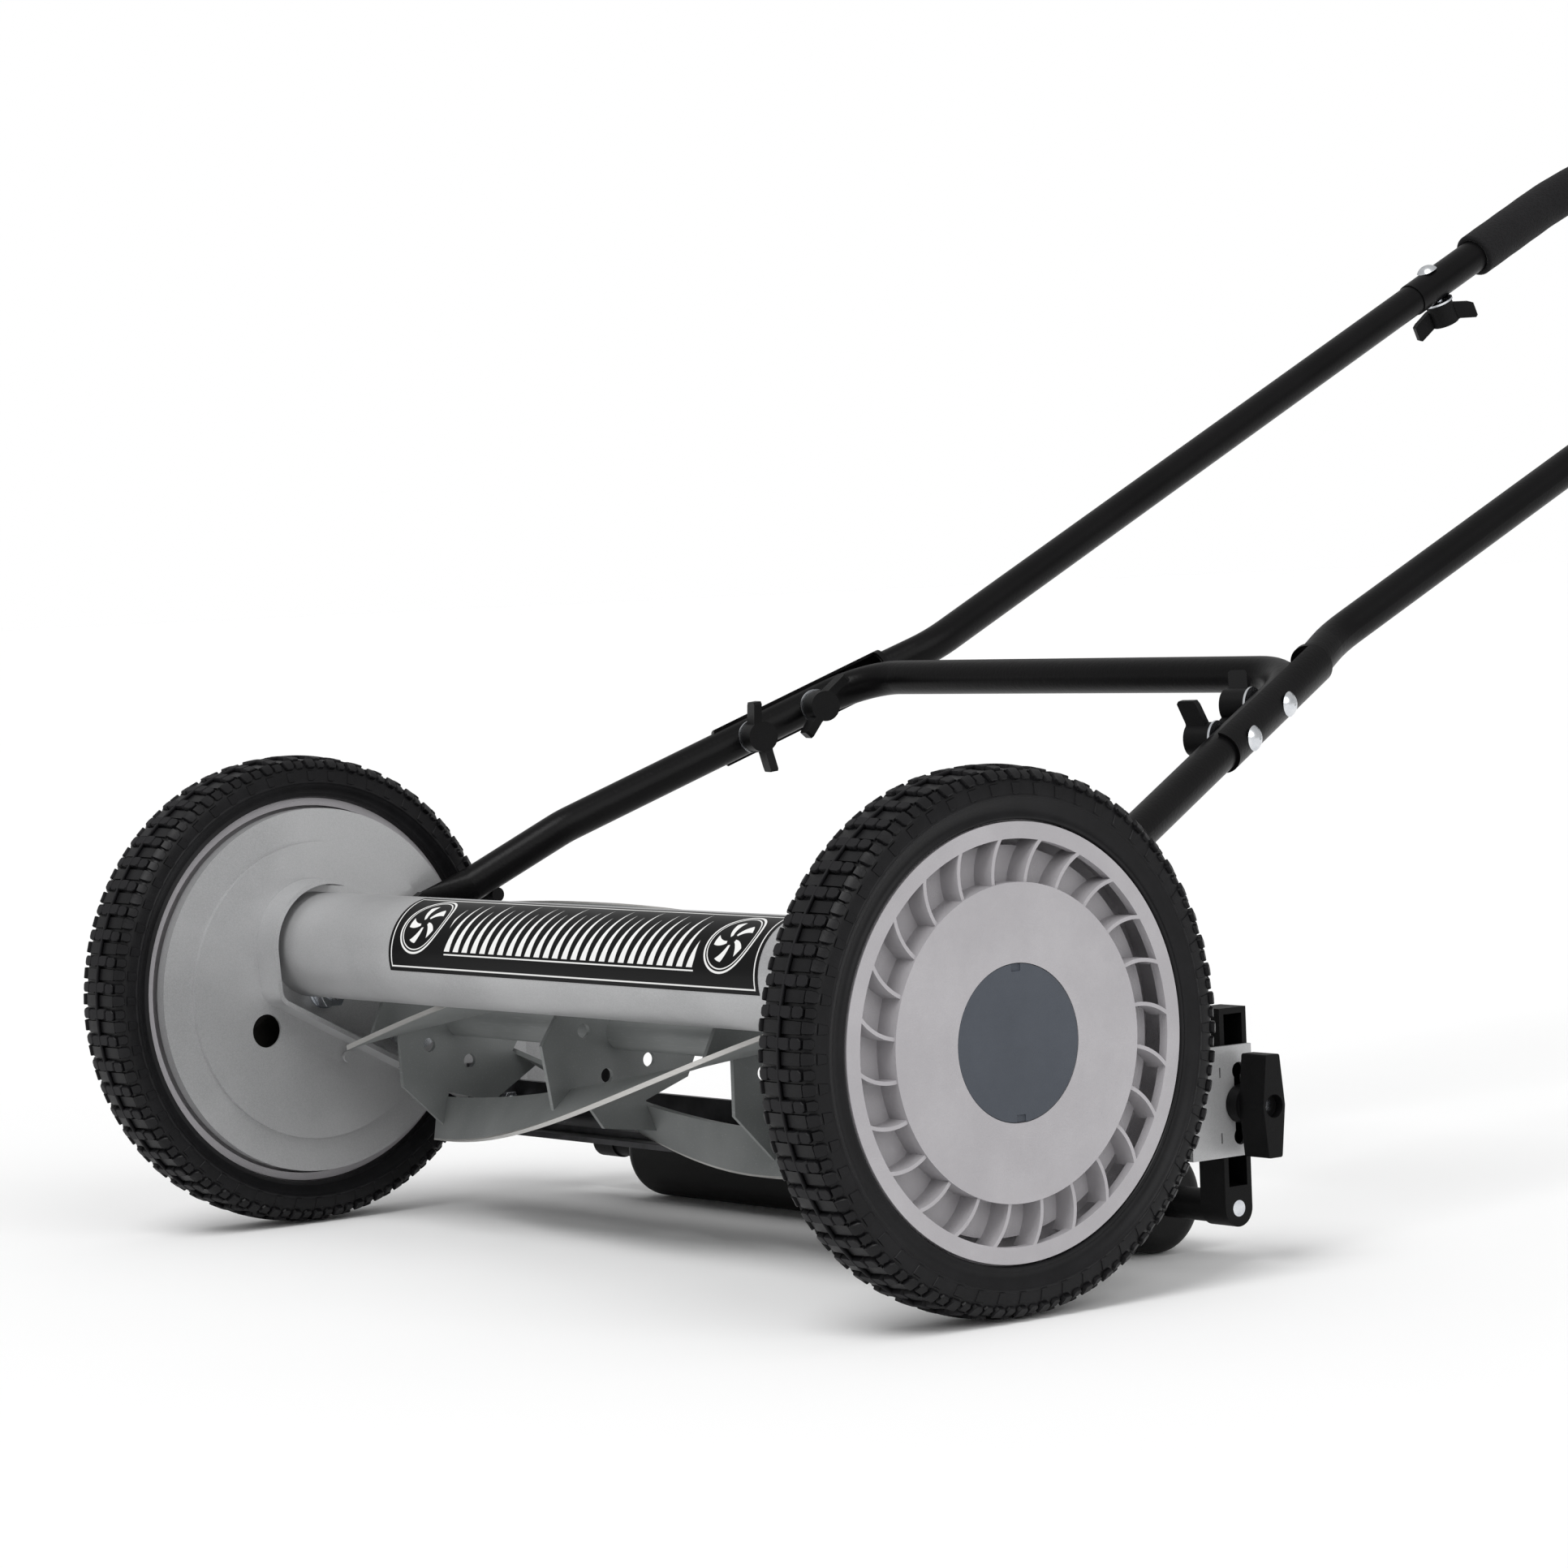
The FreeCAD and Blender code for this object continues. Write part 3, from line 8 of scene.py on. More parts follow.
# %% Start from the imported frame
import bmesh
import bpy
import json
import math
import numpy as np
from mathutils import Matrix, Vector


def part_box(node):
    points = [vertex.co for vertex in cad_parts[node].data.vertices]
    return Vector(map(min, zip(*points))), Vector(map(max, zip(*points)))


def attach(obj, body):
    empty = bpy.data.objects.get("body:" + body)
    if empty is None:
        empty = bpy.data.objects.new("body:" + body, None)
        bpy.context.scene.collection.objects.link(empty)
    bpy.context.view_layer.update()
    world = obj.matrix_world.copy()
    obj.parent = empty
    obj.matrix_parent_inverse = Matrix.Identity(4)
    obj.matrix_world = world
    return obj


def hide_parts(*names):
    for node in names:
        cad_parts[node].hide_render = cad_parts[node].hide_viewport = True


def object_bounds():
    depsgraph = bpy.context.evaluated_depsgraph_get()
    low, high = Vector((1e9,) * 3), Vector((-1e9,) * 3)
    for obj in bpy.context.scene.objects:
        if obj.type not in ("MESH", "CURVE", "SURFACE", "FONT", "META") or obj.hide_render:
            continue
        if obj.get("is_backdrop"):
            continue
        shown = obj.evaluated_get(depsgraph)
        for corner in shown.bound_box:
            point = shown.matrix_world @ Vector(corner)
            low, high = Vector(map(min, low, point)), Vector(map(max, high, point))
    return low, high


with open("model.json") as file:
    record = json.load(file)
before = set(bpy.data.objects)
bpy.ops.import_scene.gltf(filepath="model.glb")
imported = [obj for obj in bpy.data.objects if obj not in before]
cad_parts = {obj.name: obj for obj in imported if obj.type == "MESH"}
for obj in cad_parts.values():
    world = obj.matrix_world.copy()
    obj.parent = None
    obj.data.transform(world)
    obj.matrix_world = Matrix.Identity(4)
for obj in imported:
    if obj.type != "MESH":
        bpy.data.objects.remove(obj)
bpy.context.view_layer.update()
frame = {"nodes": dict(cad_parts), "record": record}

joint = {j["name"]: j for j in frame["record"]["behaviour"]["joints"]}
axle = np.array(joint["left_wheel_spin"]["pos_m"])
reel = np.array(joint["reel_spin"]["pos_m"])

# %% [markdown]
# ## The camera
# A long lens, low down, half way between the mower's front and its left side.  A long lens flattens
# the picture, so the near wheel doesn't swell.  A constraint could aim the camera, but three turns
# are plainer: heading, then tilt, then a small roll about its own line of sight, because the floor
# in a hand-held view is rarely quite level.

# %% Camera
camera_data = bpy.data.cameras.new("camera")
camera_data.sensor_width = 36.0
camera_data.lens = 116.28
camera_data.dof.use_dof = False
camera_data.clip_start = 0.05
camera_data.clip_end = 100.0
camera = bpy.data.objects.new("camera", camera_data)
bpy.context.collection.objects.link(camera)
heading, tilt, roll = math.radians(51.233), math.radians(90.0 - 2.646), math.radians(-2.292)
turned = Matrix.Rotation(heading, 4, "Z") @ Matrix.Rotation(tilt, 4, "X") @ Matrix.Rotation(roll, 4, "Z")
camera.matrix_world = Matrix.Translation((2.03192, -1.51647, 0.35514)) @ turned
bpy.context.scene.camera = camera
print("camera at", [round(v, 3) for v in camera.location])

# %% [markdown]
# ## Floor and light
# A studio sweep would hide the mower from behind, so the floor is one large pale sheet under a white
# sky.  The sky that the camera sees is brighter than the sky that lights the scene, so the paper
# melts into it.  Two very soft suns shape the object: one high in front, one over its left shoulder.
# A sun lights the whole floor evenly, so no pool of light shows.

# %% Floor and lights
scene = bpy.context.scene
scene.view_settings.view_transform = "Standard"
world = bpy.data.worlds.new("studio")
scene.world = world
world.use_nodes = True
sky = world.node_tree.nodes["Background"]
seen = world.node_tree.nodes.new("ShaderNodeLightPath")
strength = world.node_tree.nodes.new("ShaderNodeMapRange")
strength.inputs["To Min"].default_value = 0.56
strength.inputs["To Max"].default_value = 1.0
world.node_tree.links.new(seen.outputs["Is Camera Ray"], strength.inputs["Value"])
world.node_tree.links.new(strength.outputs["Result"], sky.inputs["Strength"])
sky.inputs["Color"].default_value = (1.0, 1.0, 1.0, 1.0)

floor_mesh = bpy.data.meshes.new("floor")
reach, level = 30.0, -0.0004
floor_mesh.from_pydata([(-reach, -reach, level), (reach, -reach, level), (reach, reach, level),
                        (-reach, reach, level)], [], [(0, 1, 2, 3)])
floor = bpy.data.objects.new("floor", floor_mesh)
bpy.context.collection.objects.link(floor)
floor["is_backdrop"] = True


def sun(name, place, strength, softness):
    """A sun that shines from the direction of place towards the origin, softness degrees wide."""
    data = bpy.data.lights.new(name, "SUN")
    data.energy = strength
    data.angle = math.radians(softness)
    made = bpy.data.objects.new(name, data)
    bpy.context.collection.objects.link(made)
    away = np.array(place, float) / np.linalg.norm(place)
    side = np.cross((0.0, 0.0, 1.0), away)
    side /= np.linalg.norm(side)
    matrix = np.eye(4)
    matrix[:3, 0], matrix[:3, 1], matrix[:3, 2], matrix[:3, 3] = side, np.cross(away, side), away, place
    made.matrix_world = Matrix(matrix.tolist())
    return made


lamps = [sun("front lamp", (0.6, -1.6, 2.4), 1.60, 30.0),
         sun("side lamp", (2.2, -0.3, 1.3), 0.80, 45.0)]
print("lamps", [made.name for made in lamps])

# %% [markdown]
# ## Writing materials as sums
# A finish is easier to read as arithmetic than as a picture of boxes and wires.  `Wire` wraps one
# socket, so that `1 - mask` or `noise * 0.2` adds the Math node that does it.  `Finish` owns a
# material and has a single method, `node`, that makes any other node.

# %% A small language for shaders


class Wire:
    """One output socket.  Arithmetic on it adds Math nodes to the same finish."""

    def __init__(self, finish, socket):
        self.finish = finish
        self.socket = socket

    def maths(self, operation, *values):
        """One Math node on these values."""
        return self.finish.node("ShaderNodeMath", {"operation": operation}, dict(enumerate(values)))

    def __add__(self, other):
        return self.maths("ADD", self, other)

    __radd__ = __add__

    def __sub__(self, other):
        return self.maths("SUBTRACT", self, other)

    def __rsub__(self, other):
        return self.maths("SUBTRACT", other, self)

    def __mul__(self, other):
        return self.maths("MULTIPLY", self, other)

    __rmul__ = __mul__

    def __truediv__(self, other):
        return self.maths("DIVIDE", self, other)

    def __abs__(self):
        return self.maths("ABSOLUTE", self)

    def most(self, other):
        """The larger of the two."""
        return self.maths("MAXIMUM", self, other)

    def of(self, operation):
        """A function of this value alone, such as SQRT, SINE, COSINE or FLOOR."""
        return self.maths(operation, self)

    def angle_to(self, other):
        """The angle whose tangent is this value over the other."""
        return self.maths("ARCTAN2", self, other)

    def over(self, low, high):
        """Rises smoothly from 0 at low to 1 at high; high may be the lower of the two."""
        settings = {"interpolation_type": "SMOOTHSTEP"}
        if low <= high:
            return self.finish.node("ShaderNodeMapRange", settings,
                                    {"Value": self, "From Min": low, "From Max": high})
        return 1.0 - self.over(high, low)


class Finish:
    """A material with one Principled shader, and the place on the object that its pattern reads."""

    def __init__(self, name):
        self.material = bpy.data.materials.new(name)
        self.material.use_nodes = True
        self.tree = self.material.node_tree
        self.shader = self.tree.nodes["Principled BSDF"]
        self.place = self.node("ShaderNodeTexCoord", output="Object")

    def node(self, kind, settings=None, inputs=None, output=0):
        """Adds a node of any kind: its settings first, then numbers or wires on its sockets."""
        made = self.tree.nodes.new(kind)
        for key, value in (settings or {}).items():
            setattr(made, key, value)
        for key, value in (inputs or {}).items():
            if isinstance(value, Wire):
                self.tree.links.new(value.socket, made.inputs[key])
            else:
                made.inputs[key].default_value = value
        return Wire(self, made.outputs[output])

    def axes(self):
        """The three coordinates of the place."""
        split = self.node("ShaderNodeSeparateXYZ", inputs={0: self.place})
        return [Wire(self, split.socket.node.outputs[k]) for k in range(3)]

    def from_axis(self, centre):
        """Distance from the line along X that runs through a centre."""
        x, y, z = self.axes()
        dy, dz = y - float(centre[1]), z - float(centre[2])
        return (dy * dy + dz * dz).of("SQRT")

    def stretched(self, x, y, z):
        """The place with each axis scaled, for patterns that run one way."""
        return self.node("ShaderNodeMapping", inputs={"Vector": self.place, "Scale": (x, y, z)})

    def noise(self, scale, detail=2.0, roughness=0.5, at=None):
        """Soft noise from 0 to 1, about scale lumps to the metre."""
        return self.node("ShaderNodeTexNoise", inputs={"Vector": at or self.place, "Scale": scale,
                                                       "Detail": detail, "Roughness": roughness})

    def cells(self, scale, feature="F1", output="Distance"):
        """Distance to the nearest of about scale seeds to the metre, or each cell's own colour."""
        return self.node("ShaderNodeTexVoronoi", {"feature": feature},
                         {"Vector": self.place, "Scale": scale}, output)

    def mix(self, share, first, second):
        """A colour between two colours."""
        both = self.tree.nodes.new("ShaderNodeMix")
        both.data_type = "RGBA"
        for key, value in ((0, share), (6, first), (7, second)):
            if isinstance(value, Wire):
                self.tree.links.new(value.socket, both.inputs[key])
            else:
                both.inputs[key].default_value = value if key == 0 else (*value, 1.0)
        return Wire(self, both.outputs[2])

    def bump(self, height, strength, distance):
        """A normal tilted as if a height of 1 stood distance metres proud."""
        return self.node("ShaderNodeBump", inputs={"Strength": strength, "Distance": distance,
                                                   "Height": height})

    def dress(self, **inputs):
        """Puts numbers, colours or wires on the shader's sockets, named with underscores."""
        for key, value in inputs.items():
            socket = self.shader.inputs[key.replace("_", " ")]
            if isinstance(value, Wire):
                self.tree.links.new(value.socket, socket)
            elif isinstance(value, tuple):
                socket.default_value = (*value, 1.0)
            else:
                socket.default_value = value
        return self.material


finishes = {}
print("ready to mix finishes")

# %% [markdown]
# ## Paint
# The frame is sprayed with a silver paint: tiny metal flakes under a satin binder.  It is never quite
# smooth, because a sprayed coat dries with a faint peel like an orange's, so the bump is two soft
# noises, one with waves of about four millimetres and one of about one and a half.  The flakes are
# far too small to model.  They are cells under half a millimetre across that shift the tone and the
# roughness.  The black handle is powder coat, which is thicker and has a stronger peel.

# %% Silver and black paint


def sprayed(name, colour, light, metallic, rough, peel, flake, specular=0.5):
    """Paint: a slow drift between two tones, flake sparkle in the roughness, peel in the bump."""
    finish = Finish(name)
    drift = finish.noise(14.0, 3.0)
    sparkle = finish.cells(2600.0, output="Color")
    glint = finish.node("ShaderNodeSeparateColor", inputs={0: sparkle})
    scuff = finish.noise(55.0, 5.0, 0.7).over(0.62, 0.72)
    tone = finish.mix(drift.over(0.35, 0.65), colour, light)
    tone = finish.mix(glint * flake, tone, tuple(min(1.0, c * 1.5) for c in light))
    waves = finish.noise(650.0, 1.0) + finish.noise(240.0, 2.0) * 0.8
    return finish.dress(Base_Color=tone, Metallic=metallic, Specular_IOR_Level=specular,
                        Roughness=rough + glint * flake * 0.2 + scuff * 0.06,
                        Normal=finish.bump(waves, peel, 0.0004))


finishes["silver_paint"] = sprayed("silver spray paint", (0.355, 0.357, 0.362), (0.425, 0.427, 0.432),
                                   0.50, 0.38, 0.10, 0.30)
finishes["tube_paint"] = sprayed("black powder coat", (0.0022, 0.0021, 0.0023), (0.0036, 0.0034, 0.0037),
                                 0.0, 0.34, 0.22, 0.03, 0.11)
print("paints", sorted(finishes))

# %% [markdown]
# ## The reel's paint and its cutting edges
# The blades are painted with the rest of the reel, then ground: the reel turns against a stone until
# its outer edge is bright.  The edge could be a second material on chosen faces, but distance from
# the reel's own axis tells ground metal from paint without choosing any, so the edge stays bright
# all along the helix.  A noise stretched along the axis streaks both, as wear does.

# %% Reel paint with ground edges


def ground_reel():
    """Grey paint that gives way to bright steel past a radius just inside the blades' edges."""
    finish = Finish("reel paint with ground edges")
    bright = finish.from_axis(reel).over(0.0655, 0.0660)
    drift = finish.noise(18.0, 3.0)
    streaks = finish.noise(90.0, 3.0, 0.6, finish.stretched(1.0, 18.0, 18.0))
    paint = finish.mix(drift.over(0.3, 0.7), (0.185, 0.195, 0.193), (0.240, 0.250, 0.248))
    paint = finish.mix(streaks.over(0.55, 0.75) * 0.35, paint, (0.36, 0.37, 0.37))
    steel = finish.mix(streaks, (0.50, 0.49, 0.47), (0.66, 0.65, 0.63))
    tone = finish.mix(bright, paint, steel)
    peel = finish.noise(420.0, 2.0)
    return finish.dress(Base_Color=tone, Metallic=bright * 0.5 + 0.40,
                        Roughness=0.46 - bright * 0.16 + drift * 0.08,
                        Normal=finish.bump(peel, 0.10, 0.0003))


finishes["reel_paint"] = ground_reel()
print("reel radius read from", [round(float(v), 4) for v in reel])

# %% [markdown]
# ## Bare and plated steel
# Three steels are on show.  Zinc plate is bright, a little blue, and cloudy where the bath dried.
# The cutter bar is dark from heat treatment.  The gears carry grease, which leaves them grey and
# smooth.  One function makes all three from the same fine grain, because they differ only in tone,
# in roughness, and in the way the grain runs: along the bar for rolled steel.

# %% Steels


def steel(name, dark, light, rough, grain_way, grain_strength, cloud=40.0):
    """Metal: clouds between two tones, and a grain stretched by three factors in the bump."""
    finish = Finish(name)
    grain = finish.noise(260.0, 3.0, 0.6, finish.stretched(*grain_way))
    clouds = finish.noise(cloud, 4.0, 0.6)
    tone = finish.mix(clouds.over(0.3, 0.7), dark, light)
    return finish.dress(Base_Color=tone, Metallic=1.0, Roughness=rough + clouds * 0.16 + grain * 0.08,
                        Normal=finish.bump(grain, grain_strength, 0.0002))


finishes["zinc"] = steel("zinc plate", (0.56, 0.58, 0.62), (0.76, 0.78, 0.80), 0.14,
                         (1.0, 1.0, 1.0), 0.08, 120.0)
finishes["cutter_steel"] = steel("dark bar steel", (0.055, 0.055, 0.058), (0.10, 0.10, 0.104), 0.34,
                                 (0.06, 1.0, 1.0), 0.20)
finishes["gear_steel"] = steel("greased gear steel", (0.22, 0.22, 0.22), (0.33, 0.33, 0.32), 0.22,
                               (1.0, 1.0, 1.0), 0.10)
print("steels", [name for name in finishes if "steel" in name or name == "zinc"])

# %% [markdown]
# ## Moulded plastic
# A mould is spark-eroded, which leaves the plastic with an even grain a fraction of a millimetre
# across.  It is too fine to model, so two sizes of cell make the bump, and the same cells shift the
# tone a little.  A slow noise stands for dust and handling: it shifts the tone and the roughness, so
# that the highlight breaks up.

# %% Plastics


def moulded(name, colour, light, rough, grain, strength, specular=0.5, painted_shade=None):
    """Moulded plastic: an eroded grain of cells in the bump, and a faint cloud in the colour.

    Between the first and second distance from the mower's middle, and inside the third distance from
    the axle, it is painted nearly black: painted shade for the deep hollow by the gears."""
    finish = Finish(name)
    pits = finish.cells(grain) + finish.cells(grain * 2.3) * 0.6
    dust = finish.noise(22.0, 5.0, 0.65)
    tone = finish.mix(dust.over(0.35, 0.75), colour, light)
    tone = finish.mix(pits.over(0.2, 0.9) * 0.10, tone, tuple(c * 0.7 for c in colour))
    # Painted shade: the hollow by the gears is painted nearly black, because shade falls there.
    if painted_shade:
        near_end, far_end, reach = painted_shade
        depth = abs(finish.axes()[0])
        inside = finish.from_axis(axle).over(reach, reach - 0.0005)
        hidden = depth.over(far_end, far_end - 0.0003) * depth.over(near_end, near_end + 0.0003)
        tone = finish.mix(inside * hidden * 0.97, tone, (0.020, 0.018, 0.014))
    return finish.dress(Base_Color=tone, Roughness=rough + dust * 0.12, Specular_IOR_Level=specular,
                        Normal=finish.bump(pits, strength, 0.0002))


# Where painted shade darkens the inside of the wheel: a band between two distances from the middle, within a
# radius of the axle.
gear_side_shade = (0.2676, float(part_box("left_wheel_rim")[1][0]) - 0.0145, 0.0892)
finishes["wheel_plastic"] = moulded("grey wheel plastic", (0.375, 0.362, 0.378), (0.425, 0.412, 0.428), 0.44,
                                    1500.0, 0.35, 0.5, gear_side_shade)
finishes["cap_plastic"] = moulded("slate cap plastic", (0.042, 0.050, 0.065), (0.054, 0.063, 0.080), 0.42,
                                  1700.0, 0.35)
finishes["black_plastic"] = moulded("black moulded plastic", (0.0025, 0.0025, 0.0027),
                                    (0.0050, 0.0050, 0.0053), 0.42, 1600.0, 0.30, 0.13)
finishes["roller_plastic"] = moulded("black roller plastic", (0.003, 0.003, 0.003),
                                     (0.006, 0.006, 0.006), 0.44, 1300.0, 0.25, 0.2)
print("plastics mixed")

# %% [markdown]
# ## Rubber and foam
# Rubber is dark but not black: its surface scatters a little light, and dust greys the tread more
# than the side wall.  Foam shows its cells, so its bump is a Voronoi pattern, and its Sheen lifts
# the edges the way the soft broken skin of the foam does.

# %% Rubber and foam


def tyre_rubber():
    """Black rubber: glossier on the side wall, and scuffed dull where the tread meets the ground."""
    finish = Finish("tyre rubber")
    worn = finish.from_axis(axle).over(0.1245, 0.1268)
    dust = finish.noise(60.0, 5.0, 0.7)
    fine = finish.noise(900.0, 2.0)
    tone = finish.mix(dust.over(0.35, 0.75), (0.0035, 0.0034, 0.0040), (0.0065, 0.0063, 0.0073))
    tone = finish.mix(worn * 0.5, tone, (0.0125, 0.0120, 0.0138))
    height = fine + finish.noise(160.0, 3.0, 0.6) * 0.7
    return finish.dress(Base_Color=tone, Roughness=0.36 + worn * 0.24 + dust * 0.10,
                        Specular_IOR_Level=0.20, Normal=finish.bump(height, 0.16, 0.0003))


def grip_foam():
    """Foam: two sizes of cell in the bump and in the tone, with a weak sheen."""
    finish = Finish("closed cell foam")
    cell = finish.cells(1100.0) + finish.cells(520.0) * 0.7
    cloud = finish.noise(30.0, 4.0, 0.6)
    tone = finish.mix(cell.over(0.25, 1.0), (0.0030, 0.0029, 0.0032), (0.0085, 0.0082, 0.0090))
    tone = finish.mix(cloud.over(0.4, 0.8) * 0.4, tone, (0.0105, 0.0102, 0.0112))
    finish.dress(Base_Color=tone, Roughness=0.78 + cloud * 0.1, Normal=finish.bump(cell, 0.45, 0.0005))
    return finish.dress(Specular_IOR_Level=0.15, Sheen_Weight=0.05, Sheen_Roughness=0.5)


finishes["tyre_rubber"] = tyre_rubber()
finishes["foam"] = grip_foam()
print("rubber and foam mixed")

# %% [markdown]
# ## The label
# A gloss film wraps the front bar.  Its graphic is plain: a thin white line inside the edge, a double
# ring near each end with a five-armed rosette for the five blades, and leaning blades of grass
# between them, on a line for the ground.  It could be a picture laid on the film, but here all of it
# is worked out from two numbers, the distance along the bar and the distance around it, so the
# lines stay crisp at any size.

# %% Label film


def label_film():
    """Black film with its picture as a mask: border, roundels, leaning blades and a ground line."""
    finish = Finish("label film")
    low, high = (np.array(v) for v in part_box("label"))
    x, y, z = finish.axes()
    x = x - float(low[0] + high[0]) / 2
    bar_y, bar_z, bar_r = -0.0047, 0.1523, 0.02865
    turn = (z - bar_z).angle_to(bar_y - y)
    first, last = math.radians(-15.0), math.radians(82.0)
    around = (turn - (first + last) / 2) * bar_r
    half_across = (last - first) / 2 * bar_r
    half_along = float(high[0] - low[0]) / 2
    line = 0.0004
    inset = 0.0026

    def near(value, half, soft=0.00012):
        """1 where value is within half of zero."""
        return abs(value).over(half + soft, half - soft)

    inside = (abs(x) - half_along).most(abs(around) - half_across)
    border = near(inside + inset, line)
    picture = border
    for side in (-1, 1):
        dx, dv = x - side * (half_along - 0.026), around - 0.0025
        leaning = dx - dv * 0.25
        far = (leaning * leaning + dv * dv).of("SQRT")
        rings = near(far - 0.0168, 0.00055).most(near(far - 0.0150, 0.0003))
        arms = (dv.angle_to(leaning) * 5.0 + far * 260.0).of("COSINE")
        rosette = arms.over(0.35, 0.45) * far.over(0.0118, 0.0114) * far.over(0.0028, 0.0032)
        picture = picture.most(rings).most(rosette)
    pitch = 0.0078
    lean = x - around * 0.30
    cell = (lean / pitch).of("FLOOR")
    sway = (cell * 2.4).of("SINE")
    part = lean / pitch - cell - 0.5
    foot, tip = -0.0125, 0.0165
    rise = (around - foot) / (tip - foot + sway * 0.004)
    bent = part - rise * rise * 0.22 + 0.08
    width = (1.0 - rise) * 0.30
    blade = (width - abs(bent)).over(-0.02, 0.02) * (around - foot).over(-0.0001, 0.0001)
    blade = blade * rise.over(1.0, 0.98)
    zone = abs(x).over(half_along - 0.0495, half_along - 0.0500)
    picture = picture.most(blade * zone)
    ground_line = near(around - foot + 0.0016, 0.00035) * zone
    picture = picture.most(ground_line)
    dirt = finish.noise(35.0, 4.0, 0.6)
    black = finish.mix(dirt, (0.0022, 0.0022, 0.0024), (0.0040, 0.0040, 0.0043))
    tone = finish.mix(picture, black, (0.80, 0.80, 0.79))
    ripple = finish.noise(28.0, 2.0)
    return finish.dress(Base_Color=tone, Roughness=0.24 + dirt * 0.12, Specular_IOR_Level=0.10,
                        Normal=finish.bump(ripple, 0.05, 0.0006))


finishes["label"] = label_film()
print("label drawn from", len(finishes["label"].node_tree.nodes), "nodes")

# %% [markdown]
# ## Painting the carried-over pieces
# The record says which slot each node takes its finish from, so one loop paints them all and no
# piece is forgotten.  Their shading is left alone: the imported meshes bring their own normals, and a
# tube already looks round and an edge crisp.

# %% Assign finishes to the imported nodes
slot_of = {part["node"]: part["material_slot"] for part in frame["record"]["subparts"]}
for node, thing in frame["nodes"].items():
    thing.data.materials.clear()
    thing.data.materials.append(finishes[slot_of[node]])
print("painted", len(slot_of), "nodes with", len(set(slot_of.values())), "finishes")

# %% [markdown]
# ## Floor finish
# The sheet is matt paper.  Plain white would do, but a very faint, slow noise keeps it from looking
# empty, and it only has to catch a soft shadow.

# %% Floor finish
paper = Finish("paper floor")
fibre = paper.noise(3.0, 4.0)
floor.data.materials.append(paper.dress(Base_Color=paper.mix(fibre, (0.93, 0.93, 0.93), (0.95, 0.95, 0.95)),
                                        Roughness=0.9))
print("floor laid")

# %% [markdown]
# ## Rounded edges on moulded and pressed parts
# A computed solid has edges sharper than any moulding.  A copy of the node is welded into one skin,
# its flat faces are made whole again, and a Bevel modifier rounds every edge that turns by more
# than 30 degrees.  Rounding each edge by hand would take longer and miss some.  The width suits the
# process: a millimetre or so on a moulded knob, half of that or less on a nut or a steel bar.

# %% Soften the edges


def softened(node, body, width, name, turn=30.0, segments=2):
    """A copy of a node with its corners rounded by width; it stands for the node."""
    source = frame["nodes"][node]
    mesh = source.data.copy()
    work = bmesh.new()
    work.from_mesh(mesh)
    bmesh.ops.remove_doubles(work, verts=work.verts, dist=1e-6)
    bmesh.ops.dissolve_limit(work, angle_limit=math.radians(0.6), verts=work.verts, edges=work.edges)
    work.to_mesh(mesh)
    work.free()
    mesh.name = name
    if "custom_normal" in mesh.attributes:
        mesh.attributes.remove(mesh.attributes["custom_normal"])
    mesh.polygons.foreach_set("use_smooth", np.ones(len(mesh.polygons), bool))
    mesh.set_sharp_from_angle(angle=math.radians(turn))
    made = bpy.data.objects.new(name, mesh)
    bpy.context.collection.objects.link(made)
    bevel = made.modifiers.new("rounded", "BEVEL")
    bevel.width = width
    bevel.segments = segments
    bevel.limit_method = "ANGLE"
    bevel.angle_limit = math.radians(turn)
    bevel.harden_normals = True
    bevel.use_clamp_overlap = True
    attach(made, body)
    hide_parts(node)
    return made


body_of = {node: body for body, nodes in frame["record"]["behaviour"]["bodies"].items() for node in nodes}
softness = {"height_knob": 0.0010, "lower_wing_knob": 0.0009, "middle_wing_knob": 0.0009,
            "upper_wing_knob": 0.0009, "roller_bracket": 0.0008, "hub_cap": 0.0005}
rounded = []
for ending, width in softness.items():
    for side in ("left", "right"):
        node = side + "_" + ending
        rounded.append(softened(node, body_of[node], width, node + "_rounded", segments=3))
fine_softness = {"axle_nuts": 0.0005, "pivot_nuts": 0.0005, "pivot_bolts": 0.0005,
                 "cutter_bar_bolts": 0.0004, "bed_knife": 0.0002, "cutter_bar": 0.0004}
for node, width in fine_softness.items():
    rounded.append(softened(node, body_of[node], width, node + "_rounded"))
print("rounded", len(rounded), "pieces")

# %% [markdown]
# ## Surfaces from arrays
# A turned or swept piece is a grid of points that closes on itself in both directions.  A Screw or a
# Curve could make some of them, but an array gives every point by one formula.  The order of its
# rows alone says which way is out, so the signed volume of the piece is worked out, and the faces
# are turned round where it comes out negative.

# %% Grid surfaces


def object_of(name, points, faces, finish):
    """A mesh object at the world's origin, shaded smooth."""
    mesh = bpy.data.meshes.new(name)
    mesh.from_pydata(points.tolist(), [], faces)
    mesh.polygons.foreach_set("use_smooth", np.ones(len(mesh.polygons), bool))
    mesh.materials.append(finishes[finish])
    mesh.update()
    made = bpy.data.objects.new(name, mesh)
    bpy.context.collection.objects.link(made)
    return made


def ring_quads(rows, columns):
    """Quads of a grid that closes in both directions, as rows of four corner numbers."""
    r, c = np.meshgrid(np.arange(rows), np.arange(columns), indexing="ij")
    r2, c2 = (r + 1) % rows, (c + 1) % columns
    corners = [r * columns + c, r * columns + c2, r2 * columns + c2, r2 * columns + c]
    return np.stack(corners, -1).reshape(-1, 4)


def volume(points, faces):
    """Signed volume: the sum over triangles of a corner's dot product with the other two's cross."""
    total = 0.0
    for size in {len(face) for face in faces}:
        corners = points[np.array([face for face in faces if len(face) == size])]
        for k in range(1, size - 1):
            total += np.einsum("ij,ij->", corners[:, 0], np.cross(corners[:, k], corners[:, k + 1])) / 6
    return total


